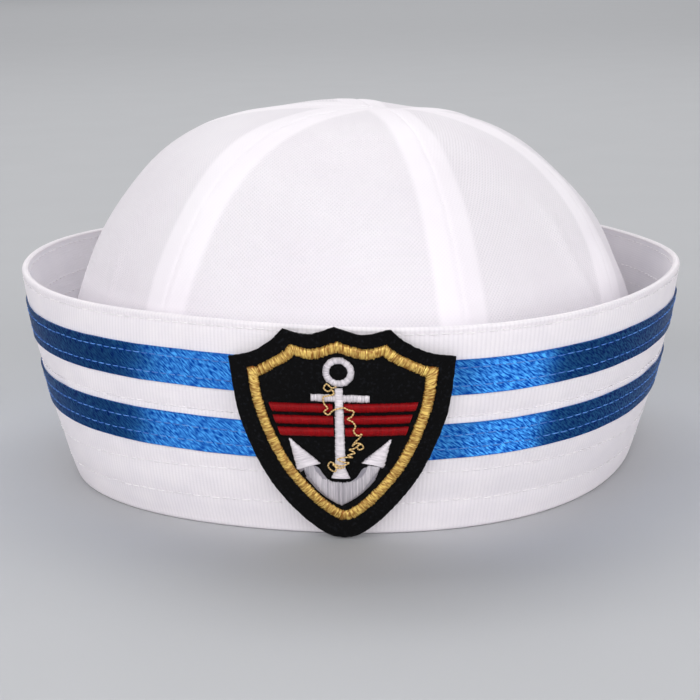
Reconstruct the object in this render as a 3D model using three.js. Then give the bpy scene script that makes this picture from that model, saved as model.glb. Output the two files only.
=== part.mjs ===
// A sailor cap: a rounded crown of six gores inside a tall turned-up brim,
// with two satin ribbons round the brim and an embroidered shield patch on its front.
// Millimetres, +Z up. The cap stands on the foot of its brim at z = 0 and its front faces -Y.
// Azimuths run from +X towards +Y, so the front is at -90 degrees.

import * as THREE from 'three';
import { TessellateModifier } from 'three/addons/modifiers/TessellateModifier.js';
import { mergeVertices } from 'three/addons/utils/BufferGeometryUtils.js';

const { clamp, degToRad, lerp, smoothstep } = THREE.MathUtils;

// Air left between pieces that touch on the real cap
const SEAM_GAP = 0.3;
const MERGE_DISTANCE = 1e-4;

// Brim, measured on its outer face
const FOOT_RADIUS = 93.5;
const RIM_RADIUS = 106.9;
const BRIM_HEIGHT = 64.2;
const BRIM_SLANT = 65.6;
const BRIM_BOW = 0.558;          // swell between foot and rim, as a share of the flare
const BRIM_WALL = 2;
const BRIM_SECTORS = 64;
const BRIM_ROWS = 7;
const EDGE_ROUND = 0.5;

// The brim's lower edge is folded under the crown's and turned up inside it as a hem
const FOOT_FOLD = 1;
const HEM_HEIGHT = 10;
const HEM_WALL = 1;
const HEM_CLEARANCE = 0.8;

// Crown
const CROWN_CLOTH = 1.2;
const CROWN_HEIGHT = 113.2;
const DOME_RADIUS = 92.9;
const DOME_WIDE = 1.075;         // the dome is wider from side to side than from front to back
const DOME_DEEP = 1.003;
const DOME_FULLNESS = 1.767;     // exponents of the dome's outline, 2 and 2 being an ellipse
const DOME_SQUARENESS = 3.065;
const DOME_LEAN = -3.7;          // sideways drift of the dome at its top
const DOME_FROM = 11;            // up to this height the crown is an upright band
const DOME_FULL_AT = 48;
const CROWN_CALM_AT = 60;        // the foot's waves have died out in the crown at this height
const POLE = { x: 8, y: -2 };    // where the six seams meet
const POLE_REACH = 45;
const TIP_RADIUS = 1.2;
const CROWN_ROWS = 15;
const GORE_COLUMNS = 8;
const NORMAL_STEP = 0.1;         // part of a row over which the dome's slope is taken
const SEAM_CUT = 0.2;            // each gore is this much short of its seam's middle
const SEAM_RIDGE = 0.027;        // the dome is this much larger along its seams
const RIDGE_HOLLOW = 0.03;       // and loses this much of its size halfway between them

// Seam allowances, pressed open and lying flat on the inside of the gores
const ALLOWANCE_WIDTH = 7;
const ALLOWANCE_CLOTH = 1;
const ALLOWANCE_GAP = 0.5;
const ALLOWANCE_SHARE = 0.3;     // widest part of a narrow gore tip that an allowance covers

// Ribbons and patch, stacked outward from the brim's outer face
const RIBBON_CLOTH = 1;
const RIBBON_ROWS = 2;
const FELT_THICKNESS = 1.5;
const STITCH_THICKNESS = 1;
const FELT_BACK = SEAM_GAP + RIBBON_CLOTH + SEAM_GAP;
const STITCH_BACK = FELT_BACK + FELT_THICKNESS + SEAM_GAP;

// Patch as it was sewn on, a little left of the front. All but its anchor is turned a little.
const PATCH_SHIFT = -5.3;
const PATCH_TURN = degToRad(1.5);
const PATCH_MIDDLE = 33;
const PATCH_TIP_LIFT = 2;        // the stiff tip stands off the brim by this much
const PATCH_TIP_REACH = 25;
const PATCH_MESH = 8;            // longest mesh edge that is bent round the brim
const MESH_CUTS = 14;
const CURVE_SEGMENTS = 12;
const BORDER_INSET = 4.8;
const BORDER_WIDTH = 3;
const BORDER_SHIFT = { x: 0.5, y: 1 };

// How the cap is out of round. A row swings out so many times in one turn, with a crest at that azimuth.
const FOOT_WAVES = [
  { times: 2, mm: 1.2, crest: 47 },
  { times: 4, mm: 2.1, crest: 28 },
];
const RIM_WAVES = [
  { times: 2, mm: 3.0, crest: -42 },
  { times: 3, mm: 2.4, crest: 56 },
  { times: 4, mm: 1.1, crest: 19 },
];
const HEIGHT_WAVES = [
  { times: 2, mm: 0.4, crest: -42 },
  { times: 3, mm: 0.6, crest: -53 },
  { times: 4, mm: 0.8, crest: -21 },
];

// The seams of the crown, by azimuth at the foot and near the top. Gore 1 lies between seams 1 and 2.
const SEAMS = [
  { foot: -129.5, top: -129.5 },
  { foot: -70.5, top: -70.5 },
  { foot: -33, top: -20 },
  { foot: 40, top: 40 },
  { foot: 100, top: 100 },
  { foot: 165, top: 165 },
];
const SEAM_BEND = { from: 30, to: 100 };

// Soft swells and dents of the crown: their middle, how far they spread, and how far they stand out.
const SWELLS = [
  { place: 'top of the back gores', x: -1, y: 22, z: 113, spread: 11, out: 0.8 },
  { place: 'right of the pole', x: 18, y: 7, z: 112, spread: 9, out: -3 },
  { place: 'low on the left', x: -90, y: -5, z: 45, spread: 18, out: 0.8 },
  { place: 'high on the left', x: -68, y: 5, z: 88, spread: 14, out: -0.4 },
  { place: 'halfway up on the right', x: 82, y: 5, z: 76, spread: 11, out: 0.8 },
  { place: 'low on the right', x: 94, y: 0, z: 50, spread: 14, out: -0.5 },
];

// Ribbons, by where they lie between foot (0) and rim (1)
const RIBBONS = [
  { name: 'ribbon_upper', low: 0.683, high: 0.849 },
  { name: 'ribbon_lower', low: 0.375, high: 0.548 },
];

// Right half of the shield's outline on the patch, from its top peak to its tip.
// x is counted from the patch's middle line and y up the brim from its foot.
const SHIELD = [
  { x: 0, y: 66.2 },
  { x: 7.5, y: 63.9 },
  { x: 14.8, y: 65.4 },
  { x: 18.8, y: 61.6 },
  { x: 24.8, y: 58.2 },
  { x: 32, y: 56.6 },
  { x: 30, y: 41.7 },
  { x: 27.6, y: 33.6 },
  { x: 24.7, y: 26.2 },
  { x: 20.8, y: 18.7 },
  { x: 15.6, y: 11.7 },
  { x: 10, y: 5.8 },
  { x: 4.3, y: 1.6 },
  { x: 0, y: 0.6 },
];

// Red bars behind the anchor: height of their middle, and how far they reach left and right
const BARS = [
  { y: 42.3, left: -19.3, right: 21 },
  { y: 38.6, left: -18.3, right: 19.4 },
  { y: 34.9, left: -17.1, right: 18.3 },
];
const BAR_HEIGHT = 2.7;
const BAR_SLANT = 0.5;
const BAR_START = 1.75;

// Anchor, standing upright on the patch
const ANCHOR_RING = { y: 53.2, outer: 4.4, inner: 2.5 };
const ANCHOR_STOCK = { y: 45.3, height: 2.2, left: -7.7, right: 8.2 };
const ANCHOR_SHANK = { top: 48.4, foot: 20.4, slim: 1.1, wide: 1.45, flare: 2.6, flareHeight: 3 };
const ANCHOR_ARMS = { reach: 9.4, ends: 22.4, tip: 11.3, fullness: 4, hollow: 18.8, thickness: 2.2 };
const ANCHOR_FLUKES = [
  { name: 'anchor_fluke_left', tip: [-14.7, 32.8], outerBarb: [-12.4, 22.6], innerBarb: [-5.7, 24.9] },
  { name: 'anchor_fluke_right', tip: [14.2, 33.1], outerBarb: [12.2, 23.9], innerBarb: [6, 25.3] },
];

const cap = new THREE.Group();

function cloth(color, roughness) {
  return new THREE.MeshStandardMaterial({ color, roughness, metalness: 0 });
}

const finishes = {
  crown: () => cloth('#e9ecf3', 0.75),
  allowance: () => cloth('#f4f5f9', 0.75),
  brim: () => cloth('#eff0f3', 0.85),
  ribbon: () => cloth('#1f62b4', 0.35),
  felt: () => cloth('#15161b', 0.95),
  border: () => cloth('#d3a243', 0.4),
  bar: () => cloth('#b81f2c', 0.5),
  anchor: () => cloth('#dcdde0', 0.5),
};

// Adds one named piece. Its geometry keeps only its positions, with shared corners merged.
function addPiece(name, geometry, finish) {
  geometry.deleteAttribute('normal');
  geometry.deleteAttribute('uv');
  const welded = mergeVertices(geometry, MERGE_DISTANCE);
  welded.computeVertexNormals();
  const mesh = new THREE.Mesh(welded, finish());
  mesh.name = name;
  cap.add(mesh);
}

// Moves every vertex of a geometry to where place(x, y, z) puts it.
function reshape(geometry, place) {
  const positions = geometry.getAttribute('position');
  for (let i = 0; i < positions.count; i += 1) {
    const moved = place(positions.getX(i), positions.getY(i), positions.getZ(i));
    positions.setXYZ(i, moved.x, moved.y, moved.z);
  }
  return geometry;
}

function wave(rows, azimuth) {
  let sum = 0;
  for (const { times, mm, crest } of rows) {
    sum += mm * Math.cos(times * (azimuth - degToRad(crest)));
  }
  return sum;
}

// Brim

// Radius of the brim's outer face at a rise from foot (0) to rim (1), before it is out of round.
function brimRadius(rise) {
  return FOOT_RADIUS + (RIM_RADIUS - FOOT_RADIUS) * (rise + BRIM_BOW * rise * (1 - rise));
}

// Moves a point of the round brim to where the real, uneven brim has it.
// Up to the hem the brim follows its foot's waves, and from there they turn into the rim's.
function settleOnBrim(azimuth, radius, height) {
  const rimShare = Math.max(0, (height - HEM_HEIGHT) / (BRIM_HEIGHT - HEM_HEIGHT));
  const uneven = lerp(wave(FOOT_WAVES, azimuth), wave(RIM_WAVES, azimuth), rimShare);
  const taller = rimShare * wave(HEIGHT_WAVES, azimuth);
  const settled = radius + uneven;
  return new THREE.Vector3(settled * Math.cos(azimuth), settled * Math.sin(azimuth), height + taller);
}

// Turns a closed section of [radius, height] corners round the cap and settles it on the brim.
function brimRing(section) {
  const corners = section.map(([radius, height]) => new THREE.Vector2(radius, height));
  const ring = new THREE.LatheGeometry([...corners, corners[0]], BRIM_SECTORS);
  ring.rotateX(Math.PI / 2);
  return reshape(ring, (x, y, z) => settleOnBrim(Math.atan2(y, x), Math.hypot(x, y), z));
}

// Steps up the brim between two heights, as [radius, height] corners this far outside its outer face.
function brimSteps(from, to, rows, outward) {
  const steps = [];
  for (let row = 0; row <= rows; row += 1) {
    const height = lerp(from, to, row / rows);
    steps.push([brimRadius(height / BRIM_HEIGHT) + outward, height]);
  }
  return steps;
}

const CROWN_FOOT_RADIUS = FOOT_RADIUS - BRIM_WALL - SEAM_GAP;
const HEM_FACE = CROWN_FOOT_RADIUS - CROWN_CLOTH - HEM_CLEARANCE;
const HEM_BACK = HEM_FACE - HEM_WALL;

// The brim is one strip: outer wall, rounded top fold, inner wall, fold under the crown, and hem.
function addBrim() {
  const fold = BRIM_WALL / 2;
  const foldHeight = BRIM_HEIGHT - fold;
  const foldRadius = brimRadius(1) - fold;
  const topFold = [45, 90, 135].map((turn) => {
    const angle = degToRad(turn);
    return [foldRadius + fold * Math.cos(angle), foldHeight + fold * Math.sin(angle)];
  });
  const section = [
    ...brimSteps(EDGE_ROUND, foldHeight, BRIM_ROWS, 0),
    ...topFold,
    ...brimSteps(foldHeight, FOOT_FOLD, BRIM_ROWS, -BRIM_WALL),
    [HEM_FACE, FOOT_FOLD],
    [HEM_FACE, HEM_HEIGHT - EDGE_ROUND],
    [(HEM_FACE + HEM_BACK) / 2, HEM_HEIGHT],
    [HEM_BACK, HEM_HEIGHT - EDGE_ROUND],
    [HEM_BACK, EDGE_ROUND],
    [HEM_BACK + EDGE_ROUND, 0],
    [FOOT_RADIUS - EDGE_ROUND, 0],
  ];
  addPiece('brim', brimRing(section), finishes.brim);
}

function addRibbons() {
  for (const { name, low, high } of RIBBONS) {
    const from = low * BRIM_HEIGHT;
    const to = high * BRIM_HEIGHT;
    const section = [
      ...brimSteps(from, to, RIBBON_ROWS, SEAM_GAP + RIBBON_CLOTH),
      ...brimSteps(to, from, RIBBON_ROWS, SEAM_GAP),
    ];
    addPiece(name, brimRing(section), finishes.ribbon);
  }
}

// Crown

// One level ring of the crown. Row 0 is its lower edge, row 1 the top of its upright band,
// and the last row the small ring of gore tips round the pole.
function crownRing(row) {
  if (row <= 0) {
    const height = FOOT_FOLD + SEAM_GAP;
    return { height, wide: CROWN_FOOT_RADIUS, deep: CROWN_FOOT_RADIUS, centreX: 0, centreY: 0 };
  }
  const start = Math.asin((DOME_FROM / CROWN_HEIGHT) ** (DOME_FULLNESS / 2));
  const end = Math.acos((TIP_RADIUS / DOME_RADIUS) ** (DOME_SQUARENESS / 2));
  const up = (row - 1) / (CROWN_ROWS - 1);
  // This easing spaces the rings evenly along the dome, up to its flat top.
  const angle = lerp(end, start, (1 - up) ** (DOME_SQUARENESS / 2));
  const height = CROWN_HEIGHT * Math.sin(angle) ** (2 / DOME_FULLNESS);
  const radius = DOME_RADIUS * Math.cos(angle) ** (2 / DOME_SQUARENESS);
  const domed = smoothstep(height, DOME_FROM, DOME_FULL_AT);
  const drift = DOME_LEAN * (height / CROWN_HEIGHT) ** 2;
  const nearPole = Math.max(0, 1 - radius / POLE_REACH) ** 2;
  return {
    height,
    wide: lerp(CROWN_FOOT_RADIUS, radius * DOME_WIDE, domed),
    deep: lerp(CROWN_FOOT_RADIUS, radius * DOME_DEEP, domed),
    centreX: lerp(drift, POLE.x, nearPole),
    centreY: lerp(0, POLE.y, nearPole),
  };
}

function seamAzimuth(number, height) {
  const turns = Math.floor(number / SEAMS.length);
  const seam = SEAMS[number - turns * SEAMS.length];
  const bent = smoothstep(height, SEAM_BEND.from, SEAM_BEND.to);
  return degToRad(lerp(seam.foot, seam.top, bent) + 360 * turns);
}

// Width of a gore round a ring.
function goreWidth(gore, ring) {
  return ring.deep * (seamAzimuth(gore + 1, ring.height) - seamAzimuth(gore, ring.height));
}

// Width of an allowance on a gore, as a share of the gore's own width at that ring.
function allowanceShare(gore, ring) {
  return Math.min(ALLOWANCE_WIDTH / goreWidth(gore, ring), ALLOWANCE_SHARE);
}

// How much larger the dome is at this share of a gore's width: full at the seams and flat between them.
function ridgeScale(across, height) {
  const bend = SEAM_RIDGE - RIDGE_HOLLOW * 4 * across * (1 - across);
  return 1 + bend * smoothstep(height, DOME_FROM, DOME_FULL_AT);
}

// A point of the crown, by gore, share of the gore's width from its first seam, row, and depth into the cloth.
// Seen from above, each seam runs straight from the pole to its place on the foot.
function crownPoint(gore, across, row, depth) {
  const ring = crownRing(row);
  const left = seamAzimuth(gore, ring.height);
  const right = seamAzimuth(gore + 1, ring.height);
  const azimuth = lerp(left, right, across);
  const poleX = (POLE.x - ring.centreX) / ring.wide;
  const poleY = (POLE.y - ring.centreY) / ring.deep;
  const towards = new THREE.Vector2(
    (DOME_RADIUS * DOME_WIDE * Math.cos(azimuth) - POLE.x) / ring.wide,
    (DOME_RADIUS * DOME_DEEP * Math.sin(azimuth) - POLE.y) / ring.deep,
  ).normalize();
  const along = towards.x * poleX + towards.y * poleY;
  const reach = Math.sqrt(along ** 2 + 1 - poleX ** 2 - poleY ** 2) - along;
  const ridge = ridgeScale(across, ring.height);
  const outX = (poleX + reach * towards.x) * ring.wide;
  const outY = (poleY + reach * towards.y) * ring.deep;
  const point = new THREE.Vector3(ring.centreX + ridge * outX, ring.centreY + ridge * outY, ring.height);
  const normal = crownNormal(row, outX, outY);
  return settleOnCrown(point, normal, azimuth, depth);
}

// Outward direction of the smooth dome at a row, towards the side that (outX, outY) points to.
function crownNormal(row, outX, outY) {
  const side = new THREE.Vector2(outX, outY).normalize();
  if (row <= 1) {
    return new THREE.Vector3(side.x, side.y, 0);
  }
  const below = crownRing(row - NORMAL_STEP);
  const above = crownRing(Math.min(row + NORMAL_STEP, CROWN_ROWS));
  const rise = above.height - below.height;
  const draw = (below.wide + below.deep - above.wide - above.deep) / 2;
  return new THREE.Vector3(side.x * rise, side.y * rise, draw).normalize();
}

// Adds the crown's swells and the foot's waves, and goes that depth into the cloth.
function settleOnCrown(point, normal, azimuth, depth) {
  let out = -depth;
  for (const swell of SWELLS) {
    const away = Math.hypot(point.x - swell.x, point.y - swell.y, point.z - swell.z) / swell.spread;
    out += swell.out * Math.exp(-0.5 * away ** 2);
  }
  const calm = clamp((point.z - DOME_FROM) / (CROWN_CALM_AT - DOME_FROM), 0, 1);
  const uneven = wave(FOOT_WAVES, azimuth) * (1 - calm);
  const settled = point.clone().addScaledVector(normal, out);
  settled.x += uneven * Math.cos(azimuth);
  settled.y += uneven * Math.sin(azimuth);
  return settled;
}

// A box with a grid of columns and rows, each vertex moved to place(column, row, depth), depth 0 or 1.
function clothPanel(columns, rows, place) {
  const box = new THREE.BoxGeometry(columns, rows, 1, columns, rows, 1);
  box.translate(columns / 2, rows / 2, 0.5);
  return reshape(box, (x, y, z) => place(Math.round(x), Math.round(y), 1 - z));
}

// Share of a gore's width at a column: the seams, the edges of their allowances, and even steps between.
function columnShare(column, gore, ring) {
  const share = allowanceShare(gore, ring);
  const cut = SEAM_CUT / goreWidth(gore, ring);
  if (column === 0) {
    return cut;
  }
  if (column === GORE_COLUMNS) {
    return 1 - cut;
  }
  return lerp(share, 1 - share, (column - 1) / (GORE_COLUMNS - 2));
}

function addGores() {
  for (let gore = 0; gore < SEAMS.length; gore += 1) {
    const panel = clothPanel(GORE_COLUMNS, CROWN_ROWS, (column, row, depth) => {
      const across = columnShare(column, gore, crownRing(row));
      return crownPoint(gore, across, row, depth * CROWN_CLOTH);
    });
    addPiece(`crown_gore_${gore + 1}`, panel, finishes.crown);
  }
}

// Each allowance reaches to both sides of its seam, from above the hem to the gore tips.
function addAllowances() {
  const front = CROWN_CLOTH + ALLOWANCE_GAP;
  for (let seam = 0; seam < SEAMS.length; seam += 1) {
    const panel = clothPanel(2, CROWN_ROWS - 2, (column, step, depth) => {
      const row = step + 1;
      const ring = crownRing(row);
      const inward = front + depth * ALLOWANCE_CLOTH;
      if (column === 0) {
        return crownPoint(seam - 1, 1 - allowanceShare(seam - 1, ring), row, inward);
      }
      return crownPoint(seam, (column - 1) * allowanceShare(seam, ring), row, inward);
    });
    addPiece(`seam_allowance_${seam + 1}`, panel, finishes.allowance);
  }
}

// Patch

// A point of the patch: x from its middle line, y up the brim, and mm outward from the brim.
function patchPoint(x, y, outward) {
  const rise = y / BRIM_SLANT;
  const radius = brimRadius(rise);
  const azimuth = degToRad(-90) + (x + PATCH_SHIFT) / (radius + outward);
  const lift = PATCH_TIP_LIFT * Math.max(0, 1 - y / PATCH_TIP_REACH) ** 2;
  return settleOnBrim(azimuth, radius + outward + lift, rise * BRIM_HEIGHT);
}

// Cuts a flat shape out of sheet this thick and bends it round the brim with its back at that distance.
function addPatchPiece(name, shape, back, thickness, finish) {
  const options = { depth: thickness, bevelEnabled: false, curveSegments: CURVE_SEGMENTS };
  const sheet = new THREE.ExtrudeGeometry(shape, options);
  const fine = new TessellateModifier(PATCH_MESH, MESH_CUTS).modify(sheet);
  reshape(fine, (x, y, z) => patchPoint(x, y, back + z));
  addPiece(name, fine, finish);
}

// Turns a point of the flat patch about the middle of the shield, as the shield was sewn on.
function turned(corner) {
  return corner.clone().rotateAround(new THREE.Vector2(0, PATCH_MIDDLE), PATCH_TURN);
}

function wholeShield() {
  const right = SHIELD.map(({ x, y }) => new THREE.Vector2(x, y));
  const left = SHIELD.slice(1, -1).map(({ x, y }) => new THREE.Vector2(-x, y));
  return [...right, ...left.reverse()].map(turned);
}

// Moves each corner of a clockwise outline inward, so that every side moves by the same distance.
function insetOutline(outline, distance) {
  return outline.map((corner, i) => {
    const before = outline.at(i - 1);
    const after = outline[(i + 1) % outline.length];
    const arriving = corner.clone().sub(before).normalize();
    const leaving = after.clone().sub(corner).normalize();
    const along = arriving.clone().add(leaving).normalize();
    const inward = new THREE.Vector2(along.y, -along.x);
    const squareness = inward.dot(new THREE.Vector2(arriving.y, -arriving.x));
    return corner.clone().addScaledVector(inward, distance / squareness);
  });
}

function addShield() {
  const outline = wholeShield();
  addPatchPiece('patch_felt', new THREE.Shape(outline), FELT_BACK, FELT_THICKNESS, finishes.felt);
  const shift = new THREE.Vector2(BORDER_SHIFT.x, BORDER_SHIFT.y);
  const moved = outline.map((corner) => corner.add(shift));
  const border = new THREE.Shape(insetOutline(moved, BORDER_INSET));
  const opening = insetOutline(moved, BORDER_INSET + BORDER_WIDTH).reverse();
  border.holes.push(new THREE.Path(opening));
  addPatchPiece('patch_border', border, STITCH_BACK, STITCH_THICKNESS, finishes.border);
}

function addStitchedShape(name, corners, finish) {
  addPatchPiece(name, new THREE.Shape(corners), STITCH_BACK, STITCH_THICKNESS, finish);
}

function flatCorners(pairs) {
  return pairs.map(([x, y]) => new THREE.Vector2(x, y));
}

function addBars() {
  BARS.forEach(({ y, left, right }, i) => {
    const top = y + BAR_HEIGHT / 2;
    const foot = y - BAR_HEIGHT / 2;
    const sides = [
      { side: 'left', end: left, start: -BAR_START, lean: -BAR_SLANT },
      { side: 'right', end: right, start: BAR_START, lean: BAR_SLANT },
    ];
    for (const { side, end, start, lean } of sides) {
      const corners = flatCorners([[start, foot], [end - lean, foot], [end + lean, top], [start, top]]);
      addStitchedShape(`red_bar_${side}_${i + 1}`, corners.map(turned), finishes.bar);
    }
  });
}

function addAnchor() {
  const ring = new THREE.Shape();
  ring.absarc(0, ANCHOR_RING.y, ANCHOR_RING.outer, 0, 2 * Math.PI, false);
  const eye = new THREE.Path();
  eye.absarc(0, ANCHOR_RING.y, ANCHOR_RING.inner, 0, 2 * Math.PI, true);
  ring.holes.push(eye);
  addPatchPiece('anchor_ring', ring, STITCH_BACK, STITCH_THICKNESS, finishes.anchor);

  const { top, foot, slim, wide, flare } = ANCHOR_SHANK;
  const flareTop = foot + ANCHOR_SHANK.flareHeight;
  const rightSide = flatCorners([[flare, foot], [wide, flareTop], [slim, top]]);
  const leftSide = flatCorners([[-slim, top], [-wide, flareTop], [-flare, foot]]);
  addStitchedShape('anchor_shank', [...rightSide, ...leftSide], finishes.anchor);

  const stockTop = ANCHOR_STOCK.y + ANCHOR_STOCK.height / 2;
  const stockFoot = ANCHOR_STOCK.y - ANCHOR_STOCK.height / 2;
  const stockStart = wide + SEAM_GAP;
  const stocks = [
    { side: 'left', start: -stockStart, end: ANCHOR_STOCK.left },
    { side: 'right', start: stockStart, end: ANCHOR_STOCK.right },
  ];
  for (const { side, start, end } of stocks) {
    const corners = [[start, stockFoot], [end, stockFoot], [end, stockTop], [start, stockTop]];
    addStitchedShape(`anchor_stock_${side}`, flatCorners(corners), finishes.anchor);
  }

  const { reach, ends, tip, fullness, hollow, thickness } = ANCHOR_ARMS;
  const arms = new THREE.Shape();
  arms.moveTo(-reach, ends - thickness / 2);
  arms.quadraticCurveTo(-reach / 2, tip + fullness, 0, tip);
  arms.quadraticCurveTo(reach / 2, tip + fullness, reach, ends - thickness / 2);
  arms.lineTo(reach - thickness, ends);
  arms.quadraticCurveTo(reach / 2, hollow, 0, hollow);
  arms.quadraticCurveTo(-reach / 2, hollow, -reach + thickness, ends);
  addPatchPiece('anchor_arms', arms, STITCH_BACK, STITCH_THICKNESS, finishes.anchor);

  for (const { name, tip: point, outerBarb, innerBarb } of ANCHOR_FLUKES) {
    addStitchedShape(name, flatCorners([point, outerBarb, innerBarb]), finishes.anchor);
  }
}

addBrim();
addRibbons();
addGores();
addAllowances();
addShield();
addBars();
addAnchor();

// The origin is on the surface that the cap stands on, under the middle of its box.
const box = new THREE.Box3().setFromObject(cap);
const middle = box.getCenter(new THREE.Vector3());
cap.position.set(-middle.x, -middle.y, 0);

export default cap;
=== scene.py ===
"""A sailor cap in white cloth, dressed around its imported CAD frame.

Six gores of polyester twill make the crown. It sits in a tall turned-up brim of grosgrain with
two satin ribbons, and an embroidered felt shield is sewn to the front. All shapes are worked out
in millimetres with numpy in the source's own coordinates, where the front is towards -Y and
azimuths run from +X towards +Y, and are then moved into the frame and turned into metres.
"""

import enum
import logging
import math
from collections.abc import Callable, Mapping, Sequence
from dataclasses import dataclass, field

import bpy
import bmesh
import numpy as np
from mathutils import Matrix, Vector


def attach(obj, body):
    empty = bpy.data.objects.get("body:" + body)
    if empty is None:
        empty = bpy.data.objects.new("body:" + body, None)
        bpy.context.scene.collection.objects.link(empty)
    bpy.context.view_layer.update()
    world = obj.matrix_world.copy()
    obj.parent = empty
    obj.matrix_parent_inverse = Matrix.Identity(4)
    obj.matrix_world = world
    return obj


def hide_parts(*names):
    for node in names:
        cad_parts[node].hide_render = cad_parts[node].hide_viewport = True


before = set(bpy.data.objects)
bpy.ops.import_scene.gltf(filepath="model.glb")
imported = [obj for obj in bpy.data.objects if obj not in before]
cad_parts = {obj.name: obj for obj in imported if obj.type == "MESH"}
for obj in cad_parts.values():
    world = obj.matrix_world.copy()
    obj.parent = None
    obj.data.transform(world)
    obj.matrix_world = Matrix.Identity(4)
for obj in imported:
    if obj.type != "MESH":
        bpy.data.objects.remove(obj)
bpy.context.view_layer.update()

log = logging.getLogger("sailor_cap")

MM = 0.001
CAP_SHIFT = np.array([2.068, 2.781, 0.0])   # mm, from the source's coordinates to the frame's
FRONT = math.radians(-90)
CLOTH_UV = "cloth_mm"
WAVE_PERIOD = math.pi / 10      # length of one wave of Blender's Wave texture at scale 1
ROUND_RADIUS = 100.0            # mm: a length round the cap is its azimuth times this
THREAD_SIDES = 6
WELD_REACH = 1e-7               # m: points closer than this are merged at a pole
TINY = 1e-9                     # keeps a length of 0 out of a division
SEED = 20

Array = np.ndarray
Placer = Callable[[Array], Array]


class Slot(enum.Enum):
    """The record's material slots."""

    CROWN = "crown_cloth"
    ALLOWANCE = "allowance_cloth"
    BRIM = "brim_cloth"
    RIBBON = "ribbon_satin"
    FELT = "patch_felt"
    GOLD = "gold_thread"
    RED = "red_thread"
    WHITE = "white_thread"


# Meshes


@dataclass
class Surface:
    """Points in mm with the four-cornered faces on them.

    Attributes:
        points: (n, 3) positions.
        faces: (m, 4) point numbers, counterclockwise seen from outside.
        uv: (m, 4, 2) cloth coordinates of the face corners, in mm.
        marks: named values, one for each point.
        part: (m,) number of the finish on each face.
    """

    points: Array
    faces: Array
    uv: Array
    marks: dict[str, Array] = field(default_factory=dict)
    part: Array | None = None

    def __post_init__(self) -> None:
        """Gives every face the first finish where none is named."""
        if self.part is None:
            self.part = np.zeros(len(self.faces), dtype=int)

    def moved(self, place: Placer) -> "Surface":
        """The same faces on points that have been placed elsewhere."""
        return Surface(place(self.points), self.faces, self.uv, self.marks, self.part)

    def wearing(self, finish: int) -> "Surface":
        """The same surface with all its faces in one of the piece's finishes."""
        self.part = np.full(len(self.faces), finish)
        return self


def joined(surfaces: Sequence[Surface]) -> Surface:
    """Puts several surfaces into one.

    Args:
        surfaces: The surfaces, all with the same marks.

    Returns:
        One surface, with the point numbers of each counted on from the one before.
    """
    starts = np.cumsum([0] + [len(s.points) for s in surfaces[:-1]])
    return Surface(
        np.concatenate([s.points for s in surfaces]),
        np.concatenate([s.faces + start for s, start in zip(surfaces, starts)]),
        np.concatenate([s.uv for s in surfaces]),
        {name: np.concatenate([s.marks[name] for s in surfaces]) for name in surfaces[0].marks},
        np.concatenate([s.part for s in surfaces]),
    )


def grid(points: Array, uv: Array, wrap: tuple[bool, bool] = (False, False)) -> Surface:
    """A grid of points with a face between each four neighbours.

    Point (i, j) joins (i, j + 1), (i + 1, j + 1) and (i + 1, j). A wrapped direction goes on
    from its last line to its first, and its uv has one line more than its points.

    Args:
        points: (rows, columns, 3) positions, with columns running to the right seen from outside.
        uv: Cloth coordinates of the grid's lines.
        wrap: Whether the rows and the columns close on themselves.

    Returns:
        The surface.
    """
    rows, columns = points.shape[:2]
    number = np.arange(rows * columns).reshape(rows, columns)
    number = np.pad(number, ((0, wrap[0]), (0, wrap[1])), mode="wrap")
    corners = [np.s_[:-1, :-1], np.s_[:-1, 1:], np.s_[1:, 1:], np.s_[1:, :-1]]
    faces = np.stack([number[c] for c in corners], axis=-1).reshape(-1, 4)
    cloth = np.stack([uv[c] for c in corners], axis=-2).reshape(-1, 4, 2)
    return Surface(points.reshape(-1, 3), faces, cloth)


def panel(outer: Array, inner: Array, uv: Array) -> Surface:
    """A closed piece of cloth between two grids of points.

    The outer grid faces out, the inner one the other way, and a strip of faces closes each of
    the four edges.

    Args:
        outer: (rows, columns, 3) positions of the outer face.
        inner: The same for the inner face.
        uv: (rows, columns, 2) cloth coordinates of both.

    Returns:
        The surface, with the outer grid's points first.
    """
    rows, columns = outer.shape[:2]
    number = np.arange(rows * columns).reshape(rows, columns)
    front = grid(outer, uv)
    back = grid(inner, uv)
    edge = np.concatenate([number[0], number[1:, -1], number[-1, -2::-1], number[-2:0:-1, 0]])
    after = np.roll(edge, -1)
    behind = rows * columns
    walls = np.stack([edge, edge + behind, after + behind, after], axis=-1)
    flat = uv.reshape(-1, 2)
    return Surface(
        np.concatenate([front.points, back.points]),
        np.concatenate([front.faces, back.faces[:, ::-1] + behind, walls]),
        np.concatenate([front.uv, back.uv[:, ::-1], flat[walls % behind]]),
    )


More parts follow.
